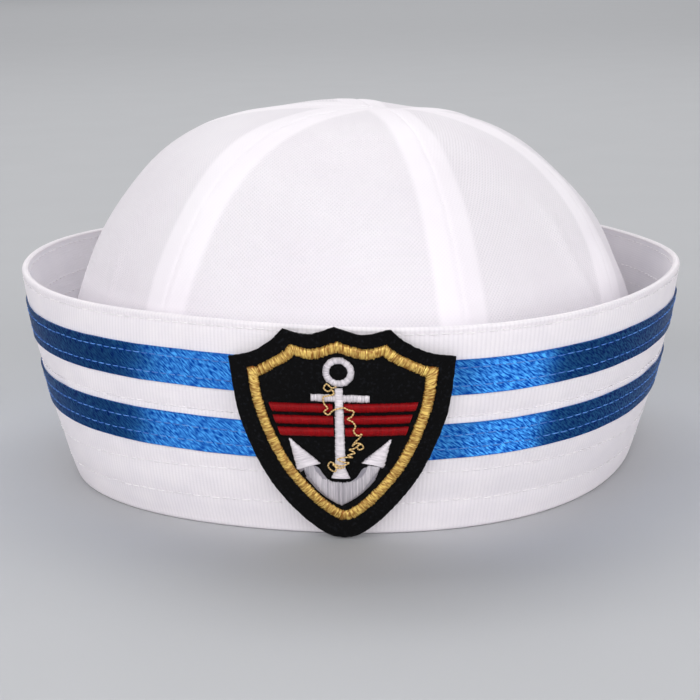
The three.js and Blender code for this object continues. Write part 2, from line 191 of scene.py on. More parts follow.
def tubes(paths: Array, wide: Array, tall: Array, sides: int = THREAD_SIDES) -> Surface:
    """Threads that follow paths over a flat ground, as many as there are paths.

    Each section is an ellipse: the path's point plus sideways times half the width times the
    cosine, and upwards times half the height times the sine, of an angle that goes round in even
    steps. Both ends are closed by flat faces.

    Args:
        paths: (threads, steps, 3) points as x, y and height over the ground, in mm.
        wide: Width of the thread, for all of it, each step or each thread and step.
        tall: Height of the thread, in the same way.
        sides: Corners of a section, an even number.

    Returns:
        The surface, with a mark "tone" that is 0 and can be filled in by the caller.
    """
    threads, steps = paths.shape[:2]
    run = np.gradient(paths[..., :2], axis=1)
    run /= np.maximum(np.linalg.norm(run, axis=-1, keepdims=True), TINY)
    side = np.stack([-run[..., 1], run[..., 0], np.zeros((threads, steps))], axis=-1)
    turn = np.arange(sides) * 2 * math.pi / sides
    half_wide = np.broadcast_to(wide, (threads, steps))[..., None] / 2 * np.cos(turn)
    half_tall = np.broadcast_to(tall, (threads, steps))[..., None] / 2 * np.sin(turn)
    up = np.array([0.0, 0.0, 1.0])
    rings = paths[:, :, None] + half_wide[..., None] * side[:, :, None] + half_tall[..., None] * up
    number = np.arange(threads * steps * sides).reshape(threads, steps, sides)
    beyond = np.roll(number, -1, axis=2)
    skin = np.stack([number[:, :-1], beyond[:, :-1], beyond[:, 1:], number[:, 1:]], axis=-1)
    fan = np.array([[0, k, k + 1, k + 2] for k in range(1, sides - 2, 2)])
    caps = np.concatenate([number[:, 0][:, fan[:, ::-1]], number[:, -1][:, fan]])
    faces = np.concatenate([skin.reshape(-1, 4), caps.reshape(-1, 4)])
    points = rings.reshape(-1, 3)
    return Surface(points, faces, points[faces][..., :2], {"tone": np.zeros(len(points))})


def smooth_run(corners: Array, counts: Sequence[int] | int) -> Array:
    """A smooth curve through some corners (Catmull-Rom).

    Between two corners each point is a cubic blend of the nearest four corners, and the curve's
    ends are carried on straight.

    Args:
        corners: (n, d) corners of the run.
        counts: Steps between each two corners, one number or one for each stretch.

    Returns:
        The curve's points, from the first corner to the last.
    """
    corners = np.asarray(corners, dtype=float)
    steps = np.broadcast_to(counts, len(corners) - 1)
    before = 2 * corners[0] - corners[1]
    beyond = 2 * corners[-1] - corners[-2]
    ends = np.concatenate([[before], corners, [beyond]])
    stretches = []
    for i, count in enumerate(steps):
        a, b, c, d = ends[i:i + 4]
        t = np.arange(count)[:, None] / count
        stretches.append(
            b + t / 2 * (c - a + t * (2 * a - 5 * b + 4 * c - d + t * (3 * (b - c) + d - a))))
    return np.concatenate([*stretches, corners[-1:]])


def smoothstep(value: Array, low: float, high: float) -> Array:
    """0 up to low, 1 from high, and 3t^2 - 2t^3 between them."""
    share = np.clip((value - low) / (high - low), 0, 1)
    return share * share * (3 - 2 * share)


def bump(value: Array, width: float) -> Array:
    """A bell of height 1 round 0: e to the power of -(value / width)^2."""
    return np.exp(-np.square(value / width))


def azimuths_round(count: int) -> Array:
    """Azimuths of evenly spaced columns, once round from -180 degrees."""
    return np.arange(count) * 2 * math.pi / count - math.pi


def ring_uv(azimuths: Array, along: Array) -> Array:
    """Cloth coordinates of a closed ring's lines: mm round the cap, and mm along its section."""
    around = np.append(azimuths, azimuths[0] + 2 * math.pi) * ROUND_RADIUS
    return np.stack(np.meshgrid(around, along), axis=-1)


def flat_points(x: Array, y: Array | float) -> Array:
    """Flat points with the given x and y, the last direction of the array being x and y."""
    return np.stack(np.broadcast_arrays(x, y), axis=-1)


def make_piece(name: str, surface: Surface, finishes: Sequence[bpy.types.Material], slot: Slot,
               stands_for: Sequence[str], weld: bool = False) -> None:
    """Makes one piece of the cap out of a surface and ties it to the frame.

    Its object is at the origin, with its place in its mesh.

    Args:
        name: The piece's name.
        surface: Its shape in the source's coordinates.
        finishes: Its materials, by the numbers in the surface.
        slot: The record's slot for its finish. It is not used.
        stands_for: The CAD nodes that it replaces.
        weld: Whether points in the same place are merged, to close a pole.
    """
    mesh = bpy.data.meshes.new(name)
    mesh.from_pydata(((surface.points + CAP_SHIFT) * MM).tolist(), [], surface.faces.tolist())
    mesh.uv_layers.new(name=CLOTH_UV).data.foreach_set("uv", surface.uv.astype("f").ravel())
    for mark, values in surface.marks.items():
        mesh.attributes.new(mark, "FLOAT", "POINT").data.foreach_set("value", values.astype("f"))
    mesh.polygons.foreach_set("material_index", surface.part.astype("i"))
    mesh.polygons.foreach_set("use_smooth", np.ones(len(surface.faces), dtype=bool))
    if weld:
        cloth = bmesh.new()
        cloth.from_mesh(mesh)
        bmesh.ops.remove_doubles(cloth, verts=cloth.verts, dist=WELD_REACH)
        cloth.to_mesh(mesh)
        cloth.free()
    mesh.update()
    for finish in finishes:
        mesh.materials.append(finish)
    piece = bpy.data.objects.new(name, mesh)
    bpy.context.scene.collection.objects.link(piece)
    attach(piece, "root")
    if stands_for:
        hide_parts(*stands_for)
    log.info("%s: %d faces", name, len(mesh.polygons))


# Finishes


POLYESTER_IOR = 1.46
COLOURS = {"data_type": "RGBA"}
SHARE, LOW, HIGH, RESULT = 0, 6, 7, 2   # a Mix node's sockets when it mixes colours


def linear(colour: str) -> tuple[float, float, float, float]:
    """Turns an sRGB hex colour into the linear one that shaders take.

    Args:
        colour: A colour such as "#3c82c8".

    Returns:
        Its red, green, blue and full alpha.
    """
    shares = [int(colour[i:i + 2], 16) / 255 for i in (1, 3, 5)]
    red, green, blue = (
        s / 12.92 if s <= 0.04045 else ((s + 0.055) / 1.055) ** 2.4 for s in shares)
    return red, green, blue, 1.0


def add_node(tree: bpy.types.NodeTree, kind: str, settings: Mapping[str, object] | None = None,
             inputs: Mapping[str | int, object] | None = None) -> bpy.types.Node:
    """Adds one node of any kind to a material.

    Args:
        tree: The material's nodes.
        kind: The node's type, without its "ShaderNode".
        settings: Its own settings by name.
        inputs: What its inputs get, by name or number. A socket is linked to the input, and
            anything else becomes its value.

    Returns:
        The node.
    """
    node = tree.nodes.new("ShaderNode" + kind)
    for name, value in (settings or {}).items():
        setattr(node, name, value)
    for name, source in (inputs or {}).items():
        if isinstance(source, bpy.types.NodeSocket):
            tree.links.new(source, node.inputs[name])
        else:
            node.inputs[name].default_value = source
    return node


def stripes(tree: bpy.types.NodeTree, period: float, turn: float,
            ragged: float) -> bpy.types.NodeSocket:
    """Parallel threads on the cloth coordinates, as a wave from 0 to 1.

    Args:
        tree: The material's nodes.
        period: Distance from thread to thread in mm.
        turn: Degrees that the threads are turned, 0 being upright on the cloth.
        ragged: How far the threads waver.

    Returns:
        The wave's socket.
    """
    cloth = add_node(tree, "UVMap", {"uv_map": CLOTH_UV})
    slanting = add_node(tree, "Mapping", inputs={
        0: cloth.outputs[0], "Rotation": (0, 0, math.radians(turn))})
    wave = add_node(tree, "TexWave", {"wave_type": "BANDS", "bands_direction": "X"}, {
        0: slanting.outputs[0], "Scale": WAVE_PERIOD / period, "Distortion": ragged,
        "Detail": 2.0, "Detail Scale": 0.4})
    return wave.outputs["Fac"]


def slubs(tree: bpy.types.NodeTree, size: tuple[float, float],
          turn: float) -> bpy.types.NodeSocket:
    """Uneven flecks on the cloth coordinates, all drawn out in one direction.

    Args:
        tree: The material's nodes.
        size: Length and width of a fleck in mm.
        turn: Degrees from the cloth's first direction to a fleck's length.

    Returns:
        The noise's socket, from 0 to 1.
    """
    cloth = add_node(tree, "UVMap", {"uv_map": CLOTH_UV})
    drawn = add_node(tree, "Mapping", {"vector_type": "TEXTURE"}, {
        0: cloth.outputs[0], "Rotation": (0, 0, math.radians(turn)), "Scale": (*size, 1)})
    noise = add_node(tree, "TexNoise", {"noise_dimensions": "2D"}, {
        "Vector": drawn.outputs[0], "Scale": 1.0, "Detail": 1.0})
    return noise.outputs["Fac"]


def mottle(tree: bpy.types.NodeTree, size: float, detail: float = 2.0) -> bpy.types.NodeSocket:
    """Soft uneven patches on Object coordinates.

    Args:
        tree: The material's nodes.
        size: Size of a patch in mm.
        detail: How many finer layers it has.

    Returns:
        The noise's socket, from 0 to 1.
    """
    place = add_node(tree, "TexCoord")
    noise = add_node(tree, "TexNoise", inputs={
        "Vector": place.outputs["Object"], "Scale": 1 / (size * MM), "Detail": detail})
    return noise.outputs["Fac"]


def mark_band(tree: bpy.types.NodeTree, mark: str, full: float, none: float,
              most: float = 1.0) -> bpy.types.NodeSocket:
    """A band that is full where a mark of the mesh is at one value, and fades to 0 at another.

    Args:
        tree: The material's nodes.
        mark: The mark's name.
        full: The mark's value from which the band is full.
        none: The mark's value from which there is none.
        most: What full stands for.

    Returns:
        The band's socket.
    """
    value = add_node(tree, "Attribute", {"attribute_name": mark})
    band = add_node(tree, "MapRange", {"interpolation_type": "SMOOTHSTEP"}, {
        0: value.outputs["Fac"], "From Min": none, "From Max": full, "To Max": most})
    return band.outputs[0]


def washed(tree: bpy.types.NodeTree, cloth: bpy.types.NodeSocket, faded: str,
           patch_mm: float) -> bpy.types.NodeSocket:
    """The colour of washed cloth: its own, multiplied by patches from white to a faded tone.

    Args:
        tree: The material's nodes.
        cloth: Its own colour.
        faded: The tone of the faded patches.
        patch_mm: Their size.

    Returns:
        The colour's socket.
    """
    tint = add_node(tree, "Mix", COLOURS, {
        SHARE: mottle(tree, patch_mm), LOW: linear(faded), HIGH: linear("#ffffff")})
    worn = add_node(tree, "Mix", {**COLOURS, "blend_type": "MULTIPLY"}, {
        SHARE: 1.0, LOW: cloth, HIGH: tint.outputs[RESULT]})
    return worn.outputs[RESULT]


@dataclass(frozen=True)
class Finish:
    """What every finish has: a name, and one Principled shader on its patterns."""

    name: str

    def shader_inputs(self, tree: bpy.types.NodeTree) -> dict[str, object]:
        """What the shader's inputs get, as sockets of the finish's patterns or as values.

        Args:
            tree: The material's nodes.

        Returns:
            The shader's inputs by name.
        """
        raise NotImplementedError

    def material(self) -> bpy.types.Material:
        """Makes the material.

        Returns:
            The material, with nothing in it but the patterns, the shader and the output.
        """
        made = bpy.data.materials.new(self.name)
        made.use_nodes = True
        tree = made.node_tree
        tree.nodes.clear()
        shader = add_node(tree, "BsdfPrincipled", inputs=self.shader_inputs(tree))
        add_node(tree, "OutputMaterial", inputs={"Surface": shader.outputs[0]})
        return made


@dataclass(frozen=True)
class TwillCloth(Finish):
    """Bleached polyester twill: matt, the faintest lilac white, fine slanting lines, soft sheen.

    Where a seam allowance lies behind it, the thin cloth lets less shade through and looks
    whiter. The real lines are about 0.5 mm apart, and are drawn wider so that they show.
    """

    name: str = "polyester_twill_white"
    single: str = "#f1edf1"
    doubled: str = "#faf6fa"
    line_shade: str = "#c3c5cf"
    line_share: float = 0.22
    line_mm: float = 0.95
    line_turn: float = 38.0
    line_depth: float = 0.09
    yarn_mm: float = 0.76
    yarn_turn: float = -48.0
    doubled_from: tuple[float, float] = (5.8, 8.0)      # mm from the seam: all, and none
    doubled_calm: float = 0.75
    faded: str = "#f5f2f5"
    patch_mm: float = 26.0
    roughness: tuple[float, float] = (0.76, 0.88)

    def shader_inputs(self, tree: bpy.types.NodeTree) -> dict[str, object]:
        """Lines crossed by yarns, which the doubled cloth calms, as shade and as relief.

        Args:
            tree: The material's nodes.

        Returns:
            The shader's inputs by name.
        """
        lines = stripes(tree, self.line_mm, self.line_turn, 0.5)
        yarns = stripes(tree, self.yarn_mm, self.yarn_turn, 0.8)
        band = mark_band(tree, "seam", *self.doubled_from)
        crossed = add_node(tree, "Math", {"operation": "MULTIPLY"}, {0: lines, 1: yarns})
        calm = add_node(tree, "Math", {"operation": "MULTIPLY_ADD"}, {
            0: band, 1: -self.doubled_calm, 2: 1.0})
        weave = add_node(tree, "Math", {"operation": "MULTIPLY"}, {
            0: crossed.outputs[0], 1: calm.outputs[0]})
        share = add_node(tree, "Math", {"operation": "MULTIPLY"}, {
            0: weave.outputs[0], 1: self.line_share})
        cloth = add_node(tree, "Mix", COLOURS, {
            SHARE: band, LOW: linear(self.single), HIGH: linear(self.doubled)})
        shaded = add_node(tree, "Mix", COLOURS, {
            SHARE: share.outputs[0], LOW: cloth.outputs[RESULT], HIGH: linear(self.line_shade)})
        rough = add_node(tree, "MapRange", inputs={
            0: lines, "To Min": self.roughness[0], "To Max": self.roughness[1]})
        relief = add_node(tree, "Bump", inputs={
            "Height": weave.outputs[0], "Distance": self.line_depth * MM})
        return {"Base Color": washed(tree, shaded.outputs[RESULT], self.faded, self.patch_mm),
                "Roughness": rough.outputs[0], "IOR": POLYESTER_IOR, "Specular IOR Level": 0.25,
                "Sheen Weight": 0.08, "Sheen Roughness": 0.4, "Normal": relief.outputs[0]}


@dataclass(frozen=True)
class Grosgrain(Finish):
    """Bleached grosgrain: matt white, stiff, with upright ribs that its mesh carries.

    The yarn that is wound round each rib gives it a fine cross grain. It is drawn coarser than
    the real 0.3 mm so that it shows. The hollows between the ribs get painted shade.
    """

    name: str = "grosgrain_white"
    colour: str = "#f6f0f3"
    # Painted shade: the darker white mixed into the hollows between the ribs.
    hollow: str = "#dfd9de"
    hollow_at: tuple[float, float] = (-0.9, 0.35)       # the mark "rib" at a full hollow and none
    hollow_shade_share: float = 0.3
    yarn_mm: float = 0.8
    yarn_depth: float = 0.014
    faded: str = "#f1f1f5"
    patch_mm: float = 9.0
    roughness: float = 0.7

    def shader_inputs(self, tree: bpy.types.NodeTree) -> dict[str, object]:
        """Painted shade in the hollows between the ribs, and the yarn's relief across them.

        Args:
            tree: The material's nodes.

        Returns:
            The shader's inputs by name.
        """
        # Painted shade: the hollows between the ribs are mixed towards the darker white.
        hollows = mark_band(tree, "rib", *self.hollow_at, self.hollow_shade_share)
        cloth = add_node(tree, "Mix", COLOURS, {
            SHARE: hollows, LOW: linear(self.colour), HIGH: linear(self.hollow)})
        relief = add_node(tree, "Bump", inputs={
            "Height": stripes(tree, self.yarn_mm, 90, 1.5), "Distance": self.yarn_depth * MM})
        return {"Base Color": washed(tree, cloth.outputs[RESULT], self.faded, self.patch_mm),
                "Roughness": self.roughness, "IOR": POLYESTER_IOR, "Sheen Weight": 0.1,
                "Normal": relief.outputs[0]}


@dataclass(frozen=True)
class PlainCloth(Finish):
    """Plain-woven facing cloth: smooth, matt, a slightly cooler white than the outside.

    Its yarns are drawn coarser than the real 0.4 mm so that they show.
    """

    name: str = "plain_weave_facing"
    colour: str = "#f5f2f5"
    shade: str = "#e5e1e5"
    shade_share: float = 0.25
    yarn_mm: float = 0.8
    yarn_depth: float = 0.03
    faded: str = "#eff0f4"
    patch_mm: float = 18.0
    roughness: float = 0.75

    def shader_inputs(self, tree: bpy.types.NodeTree) -> dict[str, object]:
        """Upright and level yarns, as shade and as relief where they cross.

        Args:
            tree: The material's nodes.

        Returns:
            The shader's inputs by name.
        """
        upright, level = (stripes(tree, self.yarn_mm, turn, 0.6) for turn in (0, 90))
        weave = add_node(tree, "Math", {"operation": "MULTIPLY"}, {0: upright, 1: level})
        share = add_node(tree, "Math", {"operation": "MULTIPLY"}, {
            0: weave.outputs[0], 1: self.shade_share})
        cloth = add_node(tree, "Mix", COLOURS, {
            SHARE: share.outputs[0], LOW: linear(self.colour), HIGH: linear(self.shade)})
        relief = add_node(tree, "Bump", inputs={
            "Height": weave.outputs[0], "Distance": self.yarn_depth * MM})
        return {"Base Color": washed(tree, cloth.outputs[RESULT], self.faded, self.patch_mm),
                "Roughness": self.roughness, "IOR": POLYESTER_IOR, "Normal": relief.outputs[0]}


@dataclass(frozen=True)
class SatinRibbon(Finish):
    """Woven polyester satin: long floats lie along the ribbon.

    They gather the light into a bright streak where the brim faces it and stay deep blue
    elsewhere. Slanting flecks show where the floats are tied down; they are smoother, and their
    brighter blue is a painted glint. They are drawn wider than the real 0.3 mm. The floats are
    round, so what shows of them faces up more than the ribbon does: lean is how far, as the
    tangent of the angle.
    """

    name: str = "polyester_satin_blue"
    deep: str = "#064cba"
    # Painted glint: the flecks' brighter blue.
    bright: str = "#489ce2"
    tie_mm: tuple[float, float] = (2.0, 0.4)
    tie_turn: float = -40.0
    painted_glint_at: tuple[float, float] = (0.22, 0.8)
    rough_at: tuple[float, float] = (0.3, 0.7)
    roughness: tuple[float, float] = (0.56, 0.34)
    lean: float = 0.6

    def shader_inputs(self, tree: bpy.types.NodeTree) -> dict[str, object]:
        """Flecks of a smoother blue, whose brighter colour is a painted glint, and a normal that
        leans up by the lean.

        Args:
            tree: The material's nodes.

        Returns:
            The shader's inputs by name.
        """
        ties = slubs(tree, self.tie_mm, self.tie_turn)
        # Painted glints: the flecks mix in the brighter blue.
        grain = add_node(tree, "MapRange", {"interpolation_type": "SMOOTHSTEP"}, {
            0: ties, "From Min": self.painted_glint_at[0], "From Max": self.painted_glint_at[1]})
        cloth = add_node(tree, "Mix", COLOURS, {
            SHARE: grain.outputs[0], LOW: linear(self.deep), HIGH: linear(self.bright)})
        rough = add_node(tree, "MapRange", inputs={
            0: ties, "From Min": self.rough_at[0], "From Max": self.rough_at[1],
            "To Min": self.roughness[0], "To Max": self.roughness[1]})
        tangent = add_node(tree, "Tangent", {"direction_type": "UV_MAP", "uv_map": CLOTH_UV})
        up = add_node(tree, "VectorTransform", {
            "vector_type": "VECTOR", "convert_from": "OBJECT", "convert_to": "WORLD"}, {
            0: (0, 0, self.lean)})
        leaning = add_node(tree, "VectorMath", {"operation": "ADD"}, {
            0: add_node(tree, "NewGeometry").outputs["Normal"], 1: up.outputs[0]})
        facing = add_node(tree, "VectorMath", {"operation": "NORMALIZE"}, {0: leaning.outputs[0]})
        return {"Base Color": cloth.outputs[RESULT], "Metallic": 1.0,
                "Roughness": rough.outputs[0], "Anisotropic": 1.0, "Anisotropic Rotation": 0.25,
                "Tangent": tangent.outputs[0], "Normal": facing.outputs[0]}


@dataclass(frozen=True)
class PressedFelt(Finish):
    """Pressed wool felt, black: no gloss, matted fibres, a few paler ones as lint and painted
    highlight.
    """

    name: str = "pressed_felt_black"
    colour: str = "#050506"
    lint_and_highlight: str = "#15161a"
    lint_and_highlight_at: tuple[float, float] = (0.52, 0.74)
    fibre_mm: float = 0.9
    fibre_depth: float = 0.15
    roughness: float = 0.95

    def shader_inputs(self, tree: bpy.types.NodeTree) -> dict[str, object]:
        """Matted fibres as relief, the highest of them paler: partly lint, partly a painted
        highlight.

        Args:
            tree: The material's nodes.

        Returns:
            The shader's inputs by name.
        """
        fibres = mottle(tree, self.fibre_mm, 4.0)
        # Lint and painted highlight: the highest fibres take the paler colour.
        light = add_node(tree, "MapRange", {"interpolation_type": "SMOOTHSTEP"}, {
            0: fibres, "From Min": self.lint_and_highlight_at[0], "From Max": self.lint_and_highlight_at[1]})
        cloth = add_node(tree, "Mix", COLOURS, {
            SHARE: light.outputs[0], LOW: linear(self.colour), HIGH: linear(self.lint_and_highlight)})
        relief = add_node(tree, "Bump", inputs={
            "Height": fibres, "Distance": self.fibre_depth * MM})
        return {"Base Color": cloth.outputs[RESULT], "Roughness": self.roughness,
                "Specular IOR Level": 0.1, "Sheen Weight": 0.03, "Normal": relief.outputs[0]}


@dataclass(frozen=True)
class Thread(Finish):
    """Embroidery or sewing thread of twisted filaments, each thread a little lighter or darker.

    Attributes:
        name: What it is made of.
        dark: Colour of the darkest threads, and of the ground under them, where it is painted
            shade.
        light: Colour of the lightest threads.
        metallic: Share of metallised filament.
        roughness: Roughness of the filaments.
        gloss: Specular level, 0.5 being the full gloss of its index of refraction.
    """

    dark: str
    light: str
    metallic: float
    roughness: float
    gloss: float = 0.5

    def shader_inputs(self, tree: bpy.types.NodeTree) -> dict[str, object]:
        """The mesh's mark "tone" from dark to light, and the relief of the filaments.

        Args:
            tree: The material's nodes.

        Returns:
            The shader's inputs by name.
        """
        tone = add_node(tree, "Attribute", {"attribute_name": "tone"})
        dyed = add_node(tree, "Mix", COLOURS, {
            SHARE: tone.outputs["Fac"], LOW: linear(self.dark), HIGH: linear(self.light)})
        relief = add_node(tree, "Bump", inputs={
            "Height": mottle(tree, 0.16, 1.0), "Distance": 0.02 * MM})
        return {"Base Color": dyed.outputs[RESULT], "Metallic": self.metallic,
                "Roughness": self.roughness, "IOR": 1.5, "Specular IOR Level": self.gloss,
                "Normal": relief.outputs[0]}


@dataclass(frozen=True)
class PaintedFloor(Finish):
    """Matt painted studio floor: pale grey, barely uneven."""

    name: str = "matt_floor_paint"
    colour: str = "#bfc0c3"
    rolled: str = "#bbbcbf"
    patch_mm: float = 60.0

    def shader_inputs(self, tree: bpy.types.NodeTree) -> dict[str, object]:
        """Soft patches of two greys.

        Args:
            tree: The material's nodes.

        Returns:
            The shader's inputs by name.
        """
        paint = add_node(tree, "Mix", COLOURS, {
            SHARE: mottle(tree, self.patch_mm), LOW: linear(self.rolled),
            HIGH: linear(self.colour)})
        return {"Base Color": paint.outputs[RESULT], "Roughness": 0.85}


GOLD_RAYON = Thread("rayon_thread_gold", "#8a4a04", "#ffdf7e", 0.35, 0.27)
GOLD_CORD = Thread("metallised_thread_gold", "#b07c2e", "#ffe2a4", 0.4, 0.3)
RED_RAYON = Thread("rayon_thread_red", "#4a0207", "#b0030f", 0.0, 0.45, 0.2)
WHITE_RAYON = Thread("rayon_thread_white", "#85818b", "#f2ebf0", 0.0, 0.36)
WHITE_SEWING = Thread("spun_polyester_thread_white", "#dedade", "#faf6f8", 0.0, 0.6)
BLUE_SEWING = Thread("spun_polyester_thread_light_blue", "#1c58b6", "#5a97e2", 0.0, 0.5)


# The cap's own form


@dataclass(frozen=True)
class Swing:
    """How far a ring goes out of round: so many times in one turn, with a crest at an azimuth."""

    times: int
    mm: float
    crest: float

    def at(self, azimuth: Array) -> Array:
        """mm times the cosine of times times the azimuth, counted from the crest."""
        return self.mm * np.cos(self.times * (azimuth - math.radians(self.crest)))


@dataclass(frozen=True)
class CapForm:
    """Sizes of the brim in mm, repeated from the part's source, and where points on it lie."""

    foot_radius: float = 93.5
    rim_radius: float = 106.9
    height: float = 64.2
    slant: float = 65.6
    bow: float = 0.558
    wall: float = 2.0
    hem_height: float = 10.0
    foot_swings: tuple[Swing, ...] = (Swing(2, 1.2, 47), Swing(4, 2.1, 28))
    rim_swings: tuple[Swing, ...] = (Swing(2, 3.0, -42), Swing(3, 2.4, 56), Swing(4, 1.1, 19))
    height_swings: tuple[Swing, ...] = (Swing(2, 0.4, -42), Swing(3, 0.6, -53), Swing(4, 0.8, -21))

    def radius(self, rise: Array) -> Array:
        """Radius of the outer face: a line from foot to rim, swollen by rise times 1 - rise."""
        return self.foot_radius + (self.rim_radius - self.foot_radius) * (
            rise + self.bow * rise * (1 - rise))

    def foot_wave(self, azimuth: Array) -> Array:
        """How far the foot is out of round."""
        return sum(swing.at(azimuth) for swing in self.foot_swings)

    def settle(self, azimuth: Array, radius: Array, height: Array) -> Array:
        """Moves points of the round brim to where the uneven brim has them.

        Up to the hem the radius follows the foot's swings. From there to the rim it goes over to
        the rim's swings in a line, and the height gains its own.

        Args:
            azimuth: Azimuths in radians.
            radius: Radii in mm.
            height: Heights in mm.

        Returns:
            The points in mm, in an array with one dimension more.
        """
        share = np.maximum(0, (height - self.hem_height) / (self.height - self.hem_height))
        rim_wave = sum(swing.at(azimuth) for swing in self.rim_swings)
        uneven = self.foot_wave(azimuth) * (1 - share) + rim_wave * share
        taller = share * sum(swing.at(azimuth) for swing in self.height_swings)
        settled = radius + uneven
        return np.stack(np.broadcast_arrays(
            settled * np.cos(azimuth), settled * np.sin(azimuth), height + taller), axis=-1)

    def on_brim(self, flat: Array) -> Array:
        """Bends flat coordinates round the brim.

        Args:
            flat: (..., 3) points: mm round the brim from its front at a radius of 100 mm, mm up
                its slant, and mm out from its outer face.

        Returns:
            (..., 3) points in mm.
        """
        rise = flat[..., 1] / self.slant
        azimuth = FRONT + flat[..., 0] / ROUND_RADIUS
        return self.settle(azimuth, self.radius(rise) + flat[..., 2], rise * self.height)


FORM = CapForm()


@dataclass(frozen=True)
class StitchRow:
    """One row of running stitches round the brim.

    Attributes:
        rise: Its mean place between foot (0) and rim (1).
        bend: How far it rises to the front, by the cosines of one and two turns.
        back: How far the cloth under it stands out from the brim's outer face, in mm.
        finish: Number of its thread among the finishes.
    """

    rise: float
    bend: tuple[float, float] = (0.0, 0.0)
    back: float = 0.0
    finish: int = 0

    def at(self, azimuth: Array) -> Array:
        """Its rise at each azimuth: the mean, plus each bend times its cosine."""
        turn = azimuth - FRONT
        return self.rise + self.bend[0] * np.cos(turn) + self.bend[1] * np.cos(2 * turn)


WHITE_ROWS = (
    StitchRow(0.122, (0.015, 0.02)),
    StitchRow(0.262, (0.02, 0.03)),
    StitchRow(0.574, (0.004, 0.0)),
    StitchRow(0.966, (0.0, 0.004)),
)
RIBBON_BACK = 0.62      # how far the ribbons' faces stand out from the brim, in mm
RIBBON_ROWS = tuple(
    StitchRow(rise, back=RIBBON_BACK, finish=1) for rise in (0.425, 0.492, 0.727, 0.812))
GROOVE_WIDTH = 0.9      # mm from the middle of a row's groove to where it is shallow


def pulled_in(azimuth: Array, rise: Array, rows: Sequence[StitchRow], depth: float) -> Array:
    """How far rows of stitches pull cloth in: a bell of that depth across each row.

    Args:
        azimuth: Azimuths of the points.
        rise: Their places between foot and rim.
        rows: The rows.
        depth: Depth of the groove in mm.

    Returns:
        mm inward at each point.
    """
    return sum(depth * bump((rise - row.at(azimuth)) * FORM.slant, GROOVE_WIDTH)
               for row in rows)


